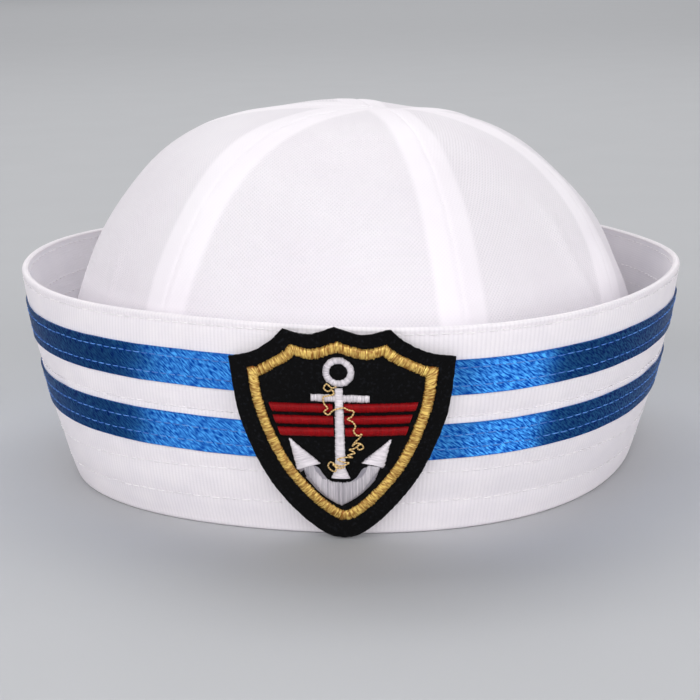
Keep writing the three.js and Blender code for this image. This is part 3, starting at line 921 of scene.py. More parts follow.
@dataclass(frozen=True)
class Brim:
    """The turned-up brim: grosgrain outside and over the top edge, plain facing and hem inside."""

    ribs: int = 530                 # 1.22 mm from rib to rib, as counted in the photograph
    points_to_rib: int = 4
    rib_height: float = 0.09
    fold_ribs: float = 0.6          # the ribs' height on the top fold as a share of the wall's
    strip: float = 1.1              # thickness of the folded grosgrain
    edge_fold: float = 0.9          # how far it comes down inside
    lap: float = 0.03               # how far the facing lies over it
    groove: float = 0.28            # depth of the stitches' grooves outside
    dent: float = 0.22              # and inside
    bead: tuple[float, float] = (0.986, 0.08)   # rise and height of the folded edge's swelling
    slack_height: float = 0.24
    facing_columns: int = 720
    hem_face: float = 89.2
    hem_back: float = 88.2

    def build(self) -> None:
        """Makes the brim's two pieces."""
        grosgrain = Grosgrain().material()
        facing = PlainCloth().material()
        make_piece("brim_grosgrain", self.outside(), [grosgrain], Slot.BRIM, ["brim"])
        make_piece("brim_facing", self.inside(), [facing], Slot.BRIM, ["brim"])

    def turned_section(self, section: Array, azimuths: Array, outward: Array) -> Surface:
        """Turns a closed section round the cap.

        The point at a corner of the section and an azimuth is settled on the brim from the
        corner's radius plus what stands out there, and the corner's height.

        Args:
            section: (corners, 2) radii and heights, up the outside first.
            azimuths: The azimuths of the columns.
            outward: (corners, columns) mm that the surface stands out from the section.

        Returns:
            The closed ring, its uv being mm round and mm along the section.
        """
        points = FORM.settle(azimuths[None], section[:, :1] + outward, section[:, 1:] + 0 * outward)
        steps = np.linalg.norm(np.diff(section, axis=0, append=section[:1]), axis=1)
        along = np.concatenate([[0], np.cumsum(steps)])
        return grid(points, ring_uv(azimuths, along), (True, True))

    def outside(self) -> Surface:
        """The ribbed strip, from the foot up over the top edge and down inside the wall.

        A rib's height goes with the cosine of its share of a turn. It is full on the wall and
        smaller over the edge.

        Returns:
            The surface, with a mark "rib" from -1 in the hollows to 1 on the ribs.
        """
        count = self.ribs * self.points_to_rib
        azimuths = azimuths_round(count)
        # Lines of the wall, closest together where the stitches draw their grooves.
        heights = np.array([
            0.4, 1.2, 3.5, 6.2, 8.2, 9.2, 10.2, 12.5, 15.5, 17.8, 19.0, 20.2, 22.5, 25.5, 29.0,
            32.5, 35.6, 36.6, 37.2, 37.8, 39.5, 43.0, 47.0, 51.0, 55.0, 58.0, 60.2, 61.4, 62.1,
            62.7, 63.2])
        wall = flat_points(FORM.radius(heights / FORM.height), heights)
        turn = np.radians([30, 60, 90, 120, 150])
        bend = FORM.wall / 2
        fold = flat_points(FORM.radius(1.0) - bend + bend * np.cos(turn),
                           FORM.height - bend + bend * np.sin(turn))
        edge = FORM.height - self.edge_fold
        within = edge + np.array([0.6, 0.15, 0.03, 0.0])
        under = np.array([edge - 0.1, 32.0, 0.8])
        inner = flat_points(FORM.radius(within / FORM.height) - FORM.wall, within)
        back = flat_points(FORM.radius(under / FORM.height) - self.strip, under)
        foot = np.array([[93.0, 0.0]])
        section = np.concatenate([wall, fold, inner, back, foot])
        ribbed = np.concatenate([
            smoothstep(heights, 0, 2), np.full(len(fold), self.fold_ribs),
            np.zeros(len(section) - len(wall) - len(fold))])
        wave = np.cos(np.arange(count) * 2 * math.pi / self.points_to_rib)[None]
        rise = section[:, 1:] / FORM.height
        outer = (np.arange(len(section)) < len(heights))[:, None]
        outward = self.rib_height / 2 * ribbed[:, None] * wave
        outward = outward - outer * pulled_in(azimuths[None], rise, WHITE_ROWS, self.groove)
        at, height = self.bead
        outward = outward + outer * height * bump((rise - at) * FORM.slant, GROOVE_WIDTH)
        outward = outward + outer * self.slack(azimuths[None], rise)
        surface = self.turned_section(section, azimuths, outward)
        surface.marks["rib"] = np.broadcast_to(ribbed[:, None] * wave, outward.shape).ravel()
        return surface

    def slack(self, azimuth: Array, rise: Array) -> Array:
        """Slight waviness of the cloth, from three crossing waves that end at foot and rim.

        Args:
            azimuth: Azimuths of the points.
            rise: Their places between foot and rim.

        Returns:
            mm outward at each point.
        """
        turn = azimuth - FRONT
        waves = (np.sin(17 * turn + 9 * rise) + np.sin(29 * turn - 14 * rise)
                 + np.sin(41 * turn + 31 * rise))
        return self.slack_height * waves * rise * (1 - rise)

    def inside(self) -> Surface:
        """The facing: down the inner wall, under the crown's edge, and up behind it as the hem.

        Returns:
            The surface.
        """
        azimuths = azimuths_round(self.facing_columns)
        top = FORM.height - self.edge_fold + 0.15
        heights = np.append(top - np.array([0, 0.03, 0.1, 0.3]), np.linspace(top - 1.2, 1.0, 18))
        wall = flat_points(FORM.radius(heights / FORM.height) - FORM.wall + self.lap, heights)
        behind = heights[::-4]
        front = flat_points(FORM.radius(behind / FORM.height) - self.strip - 0.05, behind)
        front[0] = [92.6, 0.6]
        hem_middle, hem_top = (self.hem_face + self.hem_back) / 2, FORM.hem_height
        hem = np.array([
            [self.hem_face, 1.0], [self.hem_face, 5.0], [self.hem_face, hem_top - 0.5],
            [hem_middle, hem_top], [self.hem_back, hem_top - 0.5], [self.hem_back, 5.0],
            [self.hem_back, 0.5], [hem_middle, 0.0], [92.4, 0.0]])
        section = np.concatenate([front, wall, hem])
        rise = section[:, 1:] / FORM.height
        is_wall = np.zeros((len(section), 1))
        is_wall[len(front):len(front) + len(wall)] = 1
        dents = pulled_in(azimuths[None], rise, WHITE_ROWS + RIBBON_ROWS, self.dent)
        return self.turned_section(section, azimuths, is_wall * dents)


@dataclass(frozen=True)
class Ribbon:
    """One satin ribbon sewn flat round the brim by two rows of stitches.

    Its low and high are the places of its edges between foot (0) and rim (1).
    """

    name: str
    low: float
    high: float
    columns: int = 900
    back: float = 0.12              # mm from the brim to the ribbon's back
    groove: float = 0.16            # depth of its stitches' grooves
    ripple: float = 0.03
    waver: float = 0.0006           # of its edges, as a rise

    def build(self, satin: bpy.types.Material) -> None:
        """Makes the ribbon as a thin closed ring with a slightly thicker selvedge.

        The face stands out by an even amount, less the grooves of its stitches and with a slight
        ripple, and two sine waves of the azimuth make its edges waver.

        Args:
            satin: Its material.
        """
        azimuths = azimuths_round(self.columns)
        edge = np.array([0, 0.01, 0.035, 0.07])
        selvedge = np.array([-0.45, -0.05, 0.06, 0.03])
        up = np.concatenate([edge, np.linspace(0.12, 0.88, 15), 1 - edge[::-1]])
        lift = np.concatenate([selvedge, np.zeros(15), selvedge[::-1]])
        waver = self.waver * (np.sin(23 * azimuths) + np.sin(57 * azimuths + 1) / 2)
        rise = self.low + (self.high - self.low) * up[:, None] + waver
        outward = (RIBBON_BACK + lift)[:, None] - pulled_in(
            azimuths[None], rise, RIBBON_ROWS, self.groove)
        outward = outward + self.ripple * np.sin(31 * azimuths + 40 * rise)
        behind = rise[::-3][1:-1]
        rise = np.concatenate([rise, behind])
        outward = np.concatenate([outward, np.full(behind.shape, self.back)])
        around = np.broadcast_to((azimuths - FRONT) * ROUND_RADIUS, rise.shape)
        section = np.concatenate([up, up[::-3][1:-1]]) * (self.high - self.low) * FORM.slant
        surface = grid(FORM.on_brim(np.stack([around, rise * FORM.slant, outward], axis=-1)),
                       ring_uv(azimuths - FRONT, np.append(section, section[0])), (True, True))
        make_piece("satin_" + self.name, surface, [satin], Slot.RIBBON, [self.name])


@dataclass(frozen=True)
class RunningStitches:
    """The running stitches round the brim, outside and where they come through inside."""

    pitch: float = 3.2
    length: float = 2.5
    thread: float = 0.36
    height: float = 0.3
    clear: float = 0.02             # mm from the cloth to a thread's middle
    inside_share: float = 0.8       # the size inside as a share of the one outside
    inside_rows: tuple[StitchRow, ...] = WHITE_ROWS[3:] + RIBBON_ROWS

    def build(self) -> None:
        """Makes the stitches on the outside and on the facing."""
        threads = [WHITE_SEWING.material(), BLUE_SEWING.material()]
        outside = [self.row(row, row.back + self.clear, 1.0) for row in WHITE_ROWS + RIBBON_ROWS]
        make_piece("brim_stitches", joined(outside), threads, Slot.WHITE, [])
        inside = [self.row(row, -FORM.wall - self.clear, self.inside_share)
                  for row in self.inside_rows]
        make_piece("facing_stitches", joined([s.wearing(0) for s in inside]), threads[:1],
                   Slot.WHITE, [])

    def row(self, row: StitchRow, outward: float, share: float) -> Surface:
        """One row of stitches, each a short thread that dips into the cloth at both ends.

        A stitch dips by the fourth power of its distance from its middle.

        Args:
            row: Where it runs.
            outward: How far its threads stand out from the brim's outer face, less than -1 for
                threads on the facing.
            share: Its size as a share of the full one.

        Returns:
            The surface, bent round the brim.
        """
        radius = float(FORM.radius(row.rise))
        count = round(2 * math.pi * radius / self.pitch)
        middle = (np.arange(count) + 0.5) * 2 * math.pi / count - math.pi
        step = np.linspace(-0.5, 0.5, 5)
        rng = np.random.default_rng(SEED + round(1000 * row.rise))
        length = self.length * share * rng.uniform(0.88, 1.08, (count, 1))
        azimuth = middle[:, None] + step * length / radius
        slant = row.at(azimuth) * FORM.slant + rng.normal(0, 0.06, (count, 1))
        side = np.sign(outward + 1)
        dip = outward - side * 0.9 * self.height * (2 * step) ** 4
        path = np.stack(
            [azimuth * ROUND_RADIUS, slant, np.broadcast_to(dip, azimuth.shape)], axis=-1)
        wide = self.thread * share * np.array([0.75, 1, 1, 1, 0.75])
        surface = tubes(path, wide, self.height * share)
        surface.marks["tone"] = np.repeat(rng.uniform(0.3, 1, count), len(step) * THREAD_SIDES)
        around = surface.points - [ROUND_RADIUS * FRONT, 0, 0]
        return Surface(FORM.on_brim(around), surface.faces, surface.uv, surface.marks).wearing(
            row.finish)


@dataclass(frozen=True)
class Crown:
    """The rounded crown: six gores with pressed seams, and the seams' allowances inside them.

    The sizes up to the swells are the part's source's own. All rows are counted as there: 0 at
    the lower edge, 1 at the top of the upright band, and 15 at the pole.
    """

    foot: float = 91.2
    lower_edge: float = 1.3
    height: float = 113.2
    radius: float = 92.9
    wide: float = 1.075
    deep: float = 1.003
    fullness: float = 1.767
    squareness: float = 3.065
    lean: float = -3.7
    dome_from: float = 11.0
    dome_full: float = 48.0
    calm_at: float = 60.0
    pole: tuple[float, float] = (8.0, -2.0)
    pole_reach: float = 45.0
    tip: float = 0.02
    rows: int = 15
    cloth: float = 1.2
    seam_ridge: float = 0.027
    hollow: float = 0.03
    seam_bend: tuple[float, float] = (30.0, 100.0)      # heights between which seams bend
    # Seams: azimuths at the foot and at the top.
    seams: tuple[tuple[float, float], ...] = (
        (-129.5, -129.5), (-70.5, -70.5), (-33, -20), (40, 40), (100, 100), (165, 165))
    # Swells of the dome: x, y, z, spread and height.
    swells: tuple[tuple[float, float, float, float, float], ...] = (
        (-1, 22, 113, 11, 0.8), (18, 7, 112, 9, -3), (-90, -5, 45, 18, 0.8),
        (-68, 5, 88, 14, -0.4), (82, 5, 76, 11, 0.8), (94, 0, 50, 14, -0.5))
    gore_columns: int = 56
    gore_rows: int = 112
    allowance: float = 7.0
    allowance_share: float = 0.3    # the most that it takes of a gore's width
    allowance_top: float = 14.0     # the row where the allowances end
    allowance_rows: int = 60
    allowance_depths: tuple[float, float] = (1.7, 2.7)  # mm inside the gores' outer face
    groove: tuple[float, float] = (0.25, 0.8)           # depth and width of a seam's groove
    lift: float = 0.15              # how far an allowance lifts the gore's cloth
    pucker: tuple[float, float] = (0.1, 3.2)            # height and reach of a seam's puckers
    slack: float = 0.22             # height of the cloth's waves between the seams
    # Soft folds: azimuth from the front, lower and upper height, width and depth.
    folds: tuple[tuple[float, float, float, float, float], ...] = (
        (57, 48, 92, 2.6, 0.55), (66, 44, 84, 2.0, -0.4), (-60, 50, 82, 1.8, 0.45),
        (-52, 46, 74, 2.4, -0.35), (128, 40, 86, 3.0, 0.4), (-140, 44, 80, 2.6, -0.35))

    def build(self) -> None:
        """Makes the gores and the allowances."""
        twill = TwillCloth().material()
        facing = PlainCloth("polyester_twill_back").material()
        for gore in range(len(self.seams)):
            name = f"_gore_{gore + 1}"
            make_piece("twill" + name, self.gore(gore), [twill, facing], Slot.CROWN,
                       ["crown" + name])
        for seam in range(len(self.seams)):
            name = f"_allowance_{seam + 1}"
            make_piece("twill" + name, self.seam_allowance(seam), [facing], Slot.ALLOWANCE,
                       ["seam" + name])

    def ring(self, row: Array) -> tuple[Array, ...]:
        """Level rings of the crown.

        From row 1 the height is the crown's times the sine, and the radius the dome's times the
        cosine, of an angle that grows along the dome, each to its own power. Low rings go over
        into the upright band, and rings near the pole are centred on it.

        Args:
            row: Row numbers.

        Returns:
            Heights, half widths, half depths, and the centres' x and y.
        """
        start = math.asin((self.dome_from / self.height) ** (self.fullness / 2))
        end = math.acos((self.tip / self.radius) ** (self.squareness / 2))
        up = np.clip((row - 1) / (self.rows - 1), 0, 1)
        angle = end + (start - end) * (1 - up) ** (self.squareness / 2)
        height = self.height * np.sin(angle) ** (2 / self.fullness)
        radius = self.radius * np.cos(angle) ** (2 / self.squareness)
        band = self.lower_edge + (self.dome_from - self.lower_edge) * row
        height = np.where(row < 1, band, height)
        domed = smoothstep(height, self.dome_from, self.dome_full)
        drift = self.lean * (height / self.height) ** 2 * (row >= 1)
        near = np.maximum(0, 1 - radius / self.pole_reach) ** 2
        return (height, self.foot + (radius * self.wide - self.foot) * domed,
                self.foot + (radius * self.deep - self.foot) * domed,
                drift + (self.pole[0] - drift) * near, self.pole[1] * near)

    def seam_azimuth(self, number: int, height: Array) -> Array:
        """Azimuth of a seam at some heights, bending from its foot to its top.

        Args:
            number: The seam's number, from -1. After the last seam the first one comes again.
            height: Heights in mm.

        Returns:
            Azimuths in radians, rising with the number.
        """
        turns, seam = divmod(number, len(self.seams))
        foot, top = self.seams[seam]
        bent = smoothstep(height, *self.seam_bend)
        return np.radians(foot + (top - foot) * bent + 360 * turns)

    def normal(self, row: Array, out_x: Array, out_y: Array) -> Array:
        """Outward directions of the smooth dome, square to the step from ring to ring.

        Args:
            row: Row numbers of the points.
            out_x: mm from their ring's centre along x.
            out_y: The same along y.

        Returns:
            Unit vectors, in an array with one dimension more.
        """
        below = self.ring(np.maximum(row - 0.1, 0))
        above = self.ring(np.minimum(row + 0.1, self.rows))
        rise = above[0] - below[0]
        draw = (below[1] + below[2] - above[1] - above[2]) / 2
        draw = np.where(row <= 1, 0, draw)
        rise = rise / np.maximum(np.hypot(out_x, out_y), TINY)
        square = np.stack(np.broadcast_arrays(out_x * rise, out_y * rise, draw), axis=-1)
        return square / np.linalg.norm(square, axis=-1, keepdims=True)

    def points(self, gore: int, across: Array, row: Array, depth: float,
               relief: bool) -> tuple[Array, Array]:
        """Points of a gore.

        Seen from above each column runs straight from the pole to its place on the foot, and a
        point lies where that line meets its ring. It is then moved along the dome's normal by
        the swells and the relief, less the depth.

        Args:
            gore: The gore's number, from 0.
            across: Shares of the gore's width.
            row: Row numbers, in an array of the same shape.
            depth: Depth into the cloth in mm.
            relief: Whether the fine relief of the cloth is added.

        Returns:
            The points, and their distance from the nearest seam in mm.
        """
        height, wide, deep, centre_x, centre_y = self.ring(row)
        left = self.seam_azimuth(gore, height)
        right = self.seam_azimuth(gore + 1, height)
        azimuth = left + (right - left) * across
        pole_x = (self.pole[0] - centre_x) / wide
        pole_y = (self.pole[1] - centre_y) / deep
        towards_x = (self.radius * self.wide * np.cos(azimuth) - self.pole[0]) / wide
        towards_y = (self.radius * self.deep * np.sin(azimuth) - self.pole[1]) / deep
        size = np.hypot(towards_x, towards_y)
        towards_x, towards_y = towards_x / size, towards_y / size
        along = towards_x * pole_x + towards_y * pole_y
        reach = np.sqrt(along ** 2 + 1 - pole_x ** 2 - pole_y ** 2) - along
        domed = smoothstep(height, self.dome_from, self.dome_full)
        ridge = 1 + (self.seam_ridge - self.hollow * 4 * across * (1 - across)) * domed
        out_x = (pole_x + reach * towards_x) * wide
        out_y = (pole_y + reach * towards_y) * deep
        point = np.stack([centre_x + ridge * out_x, centre_y + ridge * out_y, height], axis=-1)
        from_seam = np.minimum(across, 1 - across) * deep * (right - left)
        out = np.full(height.shape, -depth)
        for x, y, z, spread, swell in self.swells:
            away = np.linalg.norm(point - np.array([x, y, z]), axis=-1) / spread
            out = out + swell * np.exp(-0.5 * away ** 2)
        if relief:
            out = out + self.relief(gore, across, from_seam, point)
        point = point + out[..., None] * self.normal(row, out_x, out_y)
        calm = np.clip((height - self.dome_from) / (self.calm_at - self.dome_from), 0, 1)
        uneven = FORM.foot_wave(azimuth) * (1 - calm)
        point[..., 0] += uneven * np.cos(azimuth)
        point[..., 1] += uneven * np.sin(azimuth)
        return point, from_seam

    def relief(self, gore: int, across: Array, from_seam: Array, point: Array) -> Array:
        """Fine relief of a gore in mm.

        The seam is a narrow groove, the allowances behind it lift the cloth to both sides, small
        puckers cross it, and the cloth between the seams is slightly slack, with a few soft folds.

        Args:
            gore: The gore's number.
            across: Shares of its width.
            from_seam: Distances from the nearest seam.
            point: Where the points are.

        Returns:
            mm outward.
        """
        x, y, z = point[..., 0], point[..., 1], point[..., 2]
        groove = -self.groove[0] * bump(from_seam, self.groove[1])
        lift = self.lift * (1 - smoothstep(from_seam, self.allowance - 2.0, self.allowance + 1.2))
        side = np.where(across < 0.5, 0, 1) + gore
        pucker = self.pucker[0] * bump(from_seam, self.pucker[1]) * (
            np.sin(z * 0.71 + side) + np.sin((z + x * 0.6 + y * 0.5) * 0.43 + 2 * side))
        slack = self.slack * (np.sin(0.11 * x + 0.05 * y + 0.09 * z + gore)
                              + np.sin(0.16 * y - 0.07 * x + 0.13 * z + 2 * gore))
        calm = smoothstep(z, 12, 40)
        narrow = smoothstep(from_seam, 0, 12)
        turn = np.arctan2(y, x) - FRONT
        for azimuth, low, high, width, depth in self.folds:
            aside = 2 * np.sin((turn - math.radians(azimuth)) / 2) * np.hypot(x, y)
            ends = smoothstep(z, low, low + 9) * (1 - smoothstep(z, high - 12, high))
            slack = slack + depth * bump(aside + 0.12 * (z - low), width) * ends
        return (groove + lift + pucker) * smoothstep(z, 2, 12) + slack * calm * narrow

    def gore(self, gore: int) -> Surface:
        """One gore as a closed panel, with its columns closest together along its seams.

        Args:
            gore: The gore's number, from 0.

        Returns:
            The surface, with a mark "seam", the mm from the nearest seam. Its inner face has the
            second finish.
        """
        share = (1 - np.cos(math.pi * np.arange(self.gore_columns + 1) / self.gore_columns)) / 2
        row = np.concatenate([[0, 0.5], np.linspace(1, self.rows, self.gore_rows - 1)])
        row, across = np.meshgrid(row, share, indexing="ij")
        outer, from_seam = self.points(gore, across, row, 0.0, True)
        inner, _ = self.points(gore, across, row, self.cloth, False)
        middle = outer[:, self.gore_columns // 2]
        steps = np.linalg.norm(np.diff(middle, axis=0), axis=-1)
        up = np.concatenate([[0], np.cumsum(steps)])[:, None] + 0 * across
        width = np.linalg.norm(np.diff(outer, axis=1), axis=-1).sum(axis=1, keepdims=True)
        surface = panel(outer, inner, np.stack([(across - 0.5) * width, up], axis=-1))
        surface.marks["seam"] = np.tile(from_seam.ravel(), 2)
        faces = self.gore_columns * (len(row) - 1)
        surface.part[faces:2 * faces] = 1
        return surface

    def seam_allowance(self, seam: int) -> Surface:
        """The two pressed-open allowances of a seam, as one strip inside the gores.

        Args:
            seam: The seam's number, from 0.

        Returns:
            The surface.
        """
        row = np.linspace(1, self.allowance_top, self.allowance_rows)[:, None]
        height, _, deep, _, _ = self.ring(row)
        faces = []
        for depth in self.allowance_depths:
            halves = []
            for gore, shares in ((seam - 1, (1.0, 0.5, 0.1)), (seam, (0.1, 0.5, 1.0))):
                left, right = (self.seam_azimuth(gore + i, height) for i in (0, 1))
                share = np.minimum(self.allowance / (deep * (right - left)), self.allowance_share)
                share = share * np.array(shares)
                across = share if gore == seam else 1 - share
                halves.append(self.points(gore, across, row + 0 * across, depth, False)[0])
            faces.append(np.concatenate(halves, axis=1))
        uv = np.stack(np.meshgrid(np.linspace(-self.allowance, self.allowance, 6),
                                  np.linspace(0, 120, self.allowance_rows)), axis=-1)
        return panel(faces[0], faces[1], uv)


# Patch


SHIELD_TURN = math.radians(1.5)
SHIELD_MIDDLE = np.array([0.0, 33.0])


def shield_corners() -> Array:
    """The shield's outline as in the part's source: its right half, mirrored, and turned.

    Returns:
        (26, 2) corners, clockwise from the one at the top.
    """
    right = np.array([
        [0, 66.2], [7.5, 63.9], [14.8, 65.4], [18.8, 61.6], [24.8, 58.2], [32, 56.6], [30, 41.7],
        [27.6, 33.6], [24.7, 26.2], [20.8, 18.7], [15.6, 11.7], [10, 5.8], [4.3, 1.6], [0, 0.6]])
    left = right[-2:0:-1] * [-1, 1]
    return turned(np.concatenate([right, left]))


def turned(points: Array) -> Array:
    """Turns flat points about the middle of the shield, by as much as the shield is turned."""
    cosine, sine = math.cos(SHIELD_TURN), math.sin(SHIELD_TURN)
    return (points - SHIELD_MIDDLE) @ np.array([[cosine, sine], [-sine, cosine]]) + SHIELD_MIDDLE


def inset(outline: Array, distance: float) -> Array:
    """Draws an outline in, so that every side moves by the same distance.

    Each corner moves along the line that halves its angle, by the distance over the sine of half
    the angle.

    Args:
        outline: (n, 2) corners, clockwise.
        distance: How far the sides move.

    Returns:
        The moved corners.
    """
    arriving = outline - np.roll(outline, 1, axis=0)
    leaving = np.roll(outline, -1, axis=0) - outline
    arriving /= np.linalg.norm(arriving, axis=1, keepdims=True)
    leaving /= np.linalg.norm(leaving, axis=1, keepdims=True)
    along = arriving + leaving
    along /= np.linalg.norm(along, axis=1, keepdims=True)
    inward = np.stack([along[:, 1], -along[:, 0]], axis=-1)
    square = inward[:, 0] * arriving[:, 1] - inward[:, 1] * arriving[:, 0]
    return outline + inward * (distance / square)[:, None]


# The shield's sharp corners among those of its outline. Between them its sides are smooth.
SHARP = (0, 2, 5, 13, 21, 24, 26)


def round_outline(corners: Array, counts: Sequence[int]) -> Array:
    """Draws the shield's outline smoothly from sharp corner to sharp corner.

    Args:
        corners: (26, 2) corners of the outline.
        counts: Steps between each corner and the next.

    Returns:
        The outline's points, without the first one again at the end.
    """
    closed = np.concatenate([corners, corners[:1]])
    runs = [smooth_run(closed[a:b + 1], counts[a:b])[:-1] for a, b in zip(SHARP, SHARP[1:])]
    return np.concatenate(runs)


@dataclass(frozen=True)
class Patch:
    """The embroidered shield: felt, gold border, red bars, and a white anchor with gold cord."""

    shift: float = -5.3             # mm round the brim, from its front to the patch's middle
    tip_lift: float = 2.0           # how far the lower tip stands off the brim
    tip_reach: float = 25.0         # the height where it begins to
    felt_back: float = 1.6          # mm out from the brim's outer face
    felt_face: float = 3.1
    border_inset: float = 4.8       # from the felt's edge to the border's outer edge
    border_width: float = 3.0
    border_shift: tuple[float, float] = (0.5, 1.0)
    felt_middle: tuple[float, float] = (0.0, 37.0)
    felt_steps: int = 12            # from corner to corner of the outline
    edge_round: float = 0.7         # how far the felt's edge is rounded in
    pitch: float = 0.31             # from thread to thread
    thread_tall: float = 0.34
    overlap: float = 1.08
    end_shade: float = 0.35         # how much darker a satin stitch is where it dips into the felt
    # Bars: middle height, left end and right end.
    bars: tuple[tuple[float, float, float], ...] = (
        (42.3, -19.3, 21.0), (38.6, -18.3, 19.4), (34.9, -17.1, 18.3))
    bar_height: float = 2.7
    bar_gap: float = 1.75           # from the shank's middle to a bar
    bar_slant: float = 0.5
    stock: tuple[float, float, float, float] = (-7.7, 8.2, 44.2, 46.4)     # left, right, low, high
    eye: tuple[float, float] = (0.0, 53.2)
    eye_radii: tuple[float, float] = (2.5, 4.4)
    # Arms: the left halves of their lower and upper edges, as curves.
    arms_reach: float = 10.7
    arms_pitch: float = 0.24
    arms_low: tuple[tuple[float, float], ...] = ((-10.9, 23.4), (-5.6, 13.7), (0.0, 11.3))
    arms_high: tuple[tuple[float, float], ...] = ((-8.0, 24.6), (-4.9, 18.4), (0.0, 18.8))
    arms_end: tuple[float, float] = (-10.9, 24.0)
    # Flukes: the tip, and the left and right end of the foot.
    flukes: tuple[tuple[tuple[float, float], ...], ...] = (
        ((-14.7, 32.8), (-12.4, 22.6), (-5.7, 24.9)), ((14.2, 33.1), (6.0, 25.3), (12.2, 23.9)))
    # Shank: heights from foot to top, and half its width there.
    shank: tuple[tuple[float, ...], tuple[float, ...]] = ((20.4, 23.4, 48.4), (2.6, 1.45, 1.1))
    cord_wide: float = 0.46
    cord_tall: float = 0.42
    cord_swell: float = 0.07        # how much its twist adds to its width
    cord_twist: float = 1.9         # radians from step to step

    def place(self, flat: Array) -> Array:
        """Bends the flat patch round the brim, as the part's source does.

        Args:
            flat: (..., 3) points: mm from the patch's middle line, mm up the brim, mm outward.

        Returns:
            (..., 3) points in mm.
        """
        x, y, outward = flat[..., 0], flat[..., 1], flat[..., 2]
        rise = y / FORM.slant
        radius = FORM.radius(rise)
        azimuth = FRONT + (x + self.shift) / (radius + outward)
        lift = self.tip_lift * np.maximum(0, 1 - y / self.tip_reach) ** 2
        return FORM.settle(azimuth, radius + outward + lift, rise * FORM.height)

    def build(self) -> None:
        """Makes all the patch's pieces."""
        gold, red, white = (t.material() for t in (GOLD_RAYON, RED_RAYON, WHITE_RAYON))
        make_piece("felt_shield", self.felt().moved(self.place), [PressedFelt().material()],
                   Slot.FELT, ["patch_felt"], weld=True)
        make_piece("gold_border", self.border().moved(self.place), [gold], Slot.GOLD,
                   ["patch_border"])
        nodes = [f"red_bar_{side}_{i}" for side in ("left", "right") for i in (1, 2, 3)]
        make_piece("red_bars", self.red_bars().moved(self.place), [red], Slot.RED, nodes)
        anchor = ["anchor_ring", "anchor_shank", "anchor_stock_left", "anchor_stock_right",
                  "anchor_arms", "anchor_fluke_left", "anchor_fluke_right"]
        make_piece("anchor", self.anchor().moved(self.place), [white], Slot.WHITE, anchor)
        make_piece("anchor_cord", self.cord().moved(self.place), [GOLD_CORD.material()],
                   Slot.GOLD, [])

    def felt(self) -> Surface:
        """The felt as rings drawn in towards its middle, with a rounded edge.

        A ring's point is the outline's, moved towards the middle by a distance at the edge and by
        a share of the way inside it.

        Returns:
            The surface, in flat coordinates.
        """
        corners = shield_corners()
        outline = round_outline(corners, [self.felt_steps] * len(corners))
        rng = np.random.default_rng(SEED)
        middle = np.array(self.felt_middle)
        reach = np.linalg.norm(outline - middle, axis=1)
        rough = rng.normal(0, 0.05, len(outline))
        shares = np.array([0, 0.1, 0.25, 0.4, 0.55, 0.7, 0.82, 0.92])
        edge = np.array([self.edge_round, 0.3, 0.08, 0, 0, 0.08, 0.3])
        edge_height = np.array([0, -0.06, -0.22, -0.45, -1.1, -1.35, -1.5]) + self.felt_face
        within = shares[:, None] * (1 - self.edge_round / reach)
        kept = np.concatenate([within, 1 - (edge[:, None] + rough) / reach, within[::-1]])
        height = np.concatenate([
            np.full(len(shares), self.felt_face), edge_height,
            np.full(len(shares), self.felt_back)])
        flat = middle + kept[..., None] * (outline - middle)
        points = np.concatenate(
            [flat, np.broadcast_to(height[:, None, None], (*kept.shape, 1))], axis=-1)
        lines = np.pad(points[..., :2], ((0, 0), (0, 1), (0, 0)), mode="wrap")
        return grid(points, lines, (False, True))

    def satin(self, left: Array, right: Array, crown: float, rng: np.random.Generator,
              ragged: float = 0.1, ground: float | None = None,
              bow: Array | None = None, glints: float = 0.2,
              tones: tuple[float, float] = (0.5, 1.0)) -> Surface:
        """Satin stitches side by side between two edges, over a padded ground.

        A thread rises over the ground by the crown times the sine of half a turn times its share
        of the way from edge to edge, to the power of 0.6, and threads under 2 mm rise less. The
        padding is one flattened tube down the middle.

        Args:
            left: (threads, 2) ends of the threads along one edge.
            right: Their other ends.
            crown: How high the threads rise.
            rng: Where the unevenness comes from.
            ragged: How far the ends are out of line.
            ground: How far the ground of the threads stands out, the felt's face if None.
            bow: (threads, 2) mm that the middle of each thread is out of line, none if None.
            glints: How much lighter and darker a thread gets along its way.
            tones: The darkest and the lightest thread's tone.

        Returns:
            The surface, in flat coordinates.
        """
        base = self.felt_face if ground is None else ground
        count = len(left)
        step = np.array([0, 0.07, 0.24, 0.5, 0.76, 0.93, 1])
        gap = np.linalg.norm(np.gradient((left + right) / 2, axis=0), axis=1)
        across = right - left
        size = np.maximum(np.linalg.norm(across, axis=1, keepdims=True), 0.1)
        left = left - across / size * rng.normal(0, ragged, (count, 1))
        right = right + across / size * rng.normal(0, ragged, (count, 1))
        flat = left[:, None] + step[None, :, None] * (right - left)[:, None]
        if bow is not None:
            flat = flat + bow[:, None] * np.sin(math.pi * step)[None, :, None]
        rise = crown * np.sin(math.pi * step) ** 0.6 * rng.uniform(0.93, 1.07, (count, 1))
        rise = rise * np.minimum(1, size / 2)
        paths = np.concatenate([flat, (base - 0.1 + rise)[..., None]], axis=-1)
        wide = np.clip(gap, self.pitch * 0.8, self.pitch * 1.6)[:, None] * self.overlap
        threads = tubes(paths, wide, self.thread_tall)
        tone = rng.uniform(*tones, (count, 1)) * rng.uniform(
            1 - glints, 1 + glints, (count, len(step)))
        tone = tone * (1 - self.end_shade * np.abs(2 * step - 1) ** 3)
        threads.marks["tone"] = np.repeat(np.clip(tone, 0, 1), THREAD_SIDES)
        middle = flat[:, len(step) // 2]
        smooth = np.concatenate([middle[:1], (middle[:-1] + middle[1:]) / 2, middle[-1:]])
        widths = np.concatenate([size[:1], (size[:-1] + size[1:]) / 2, size[-1:]])[:, 0]
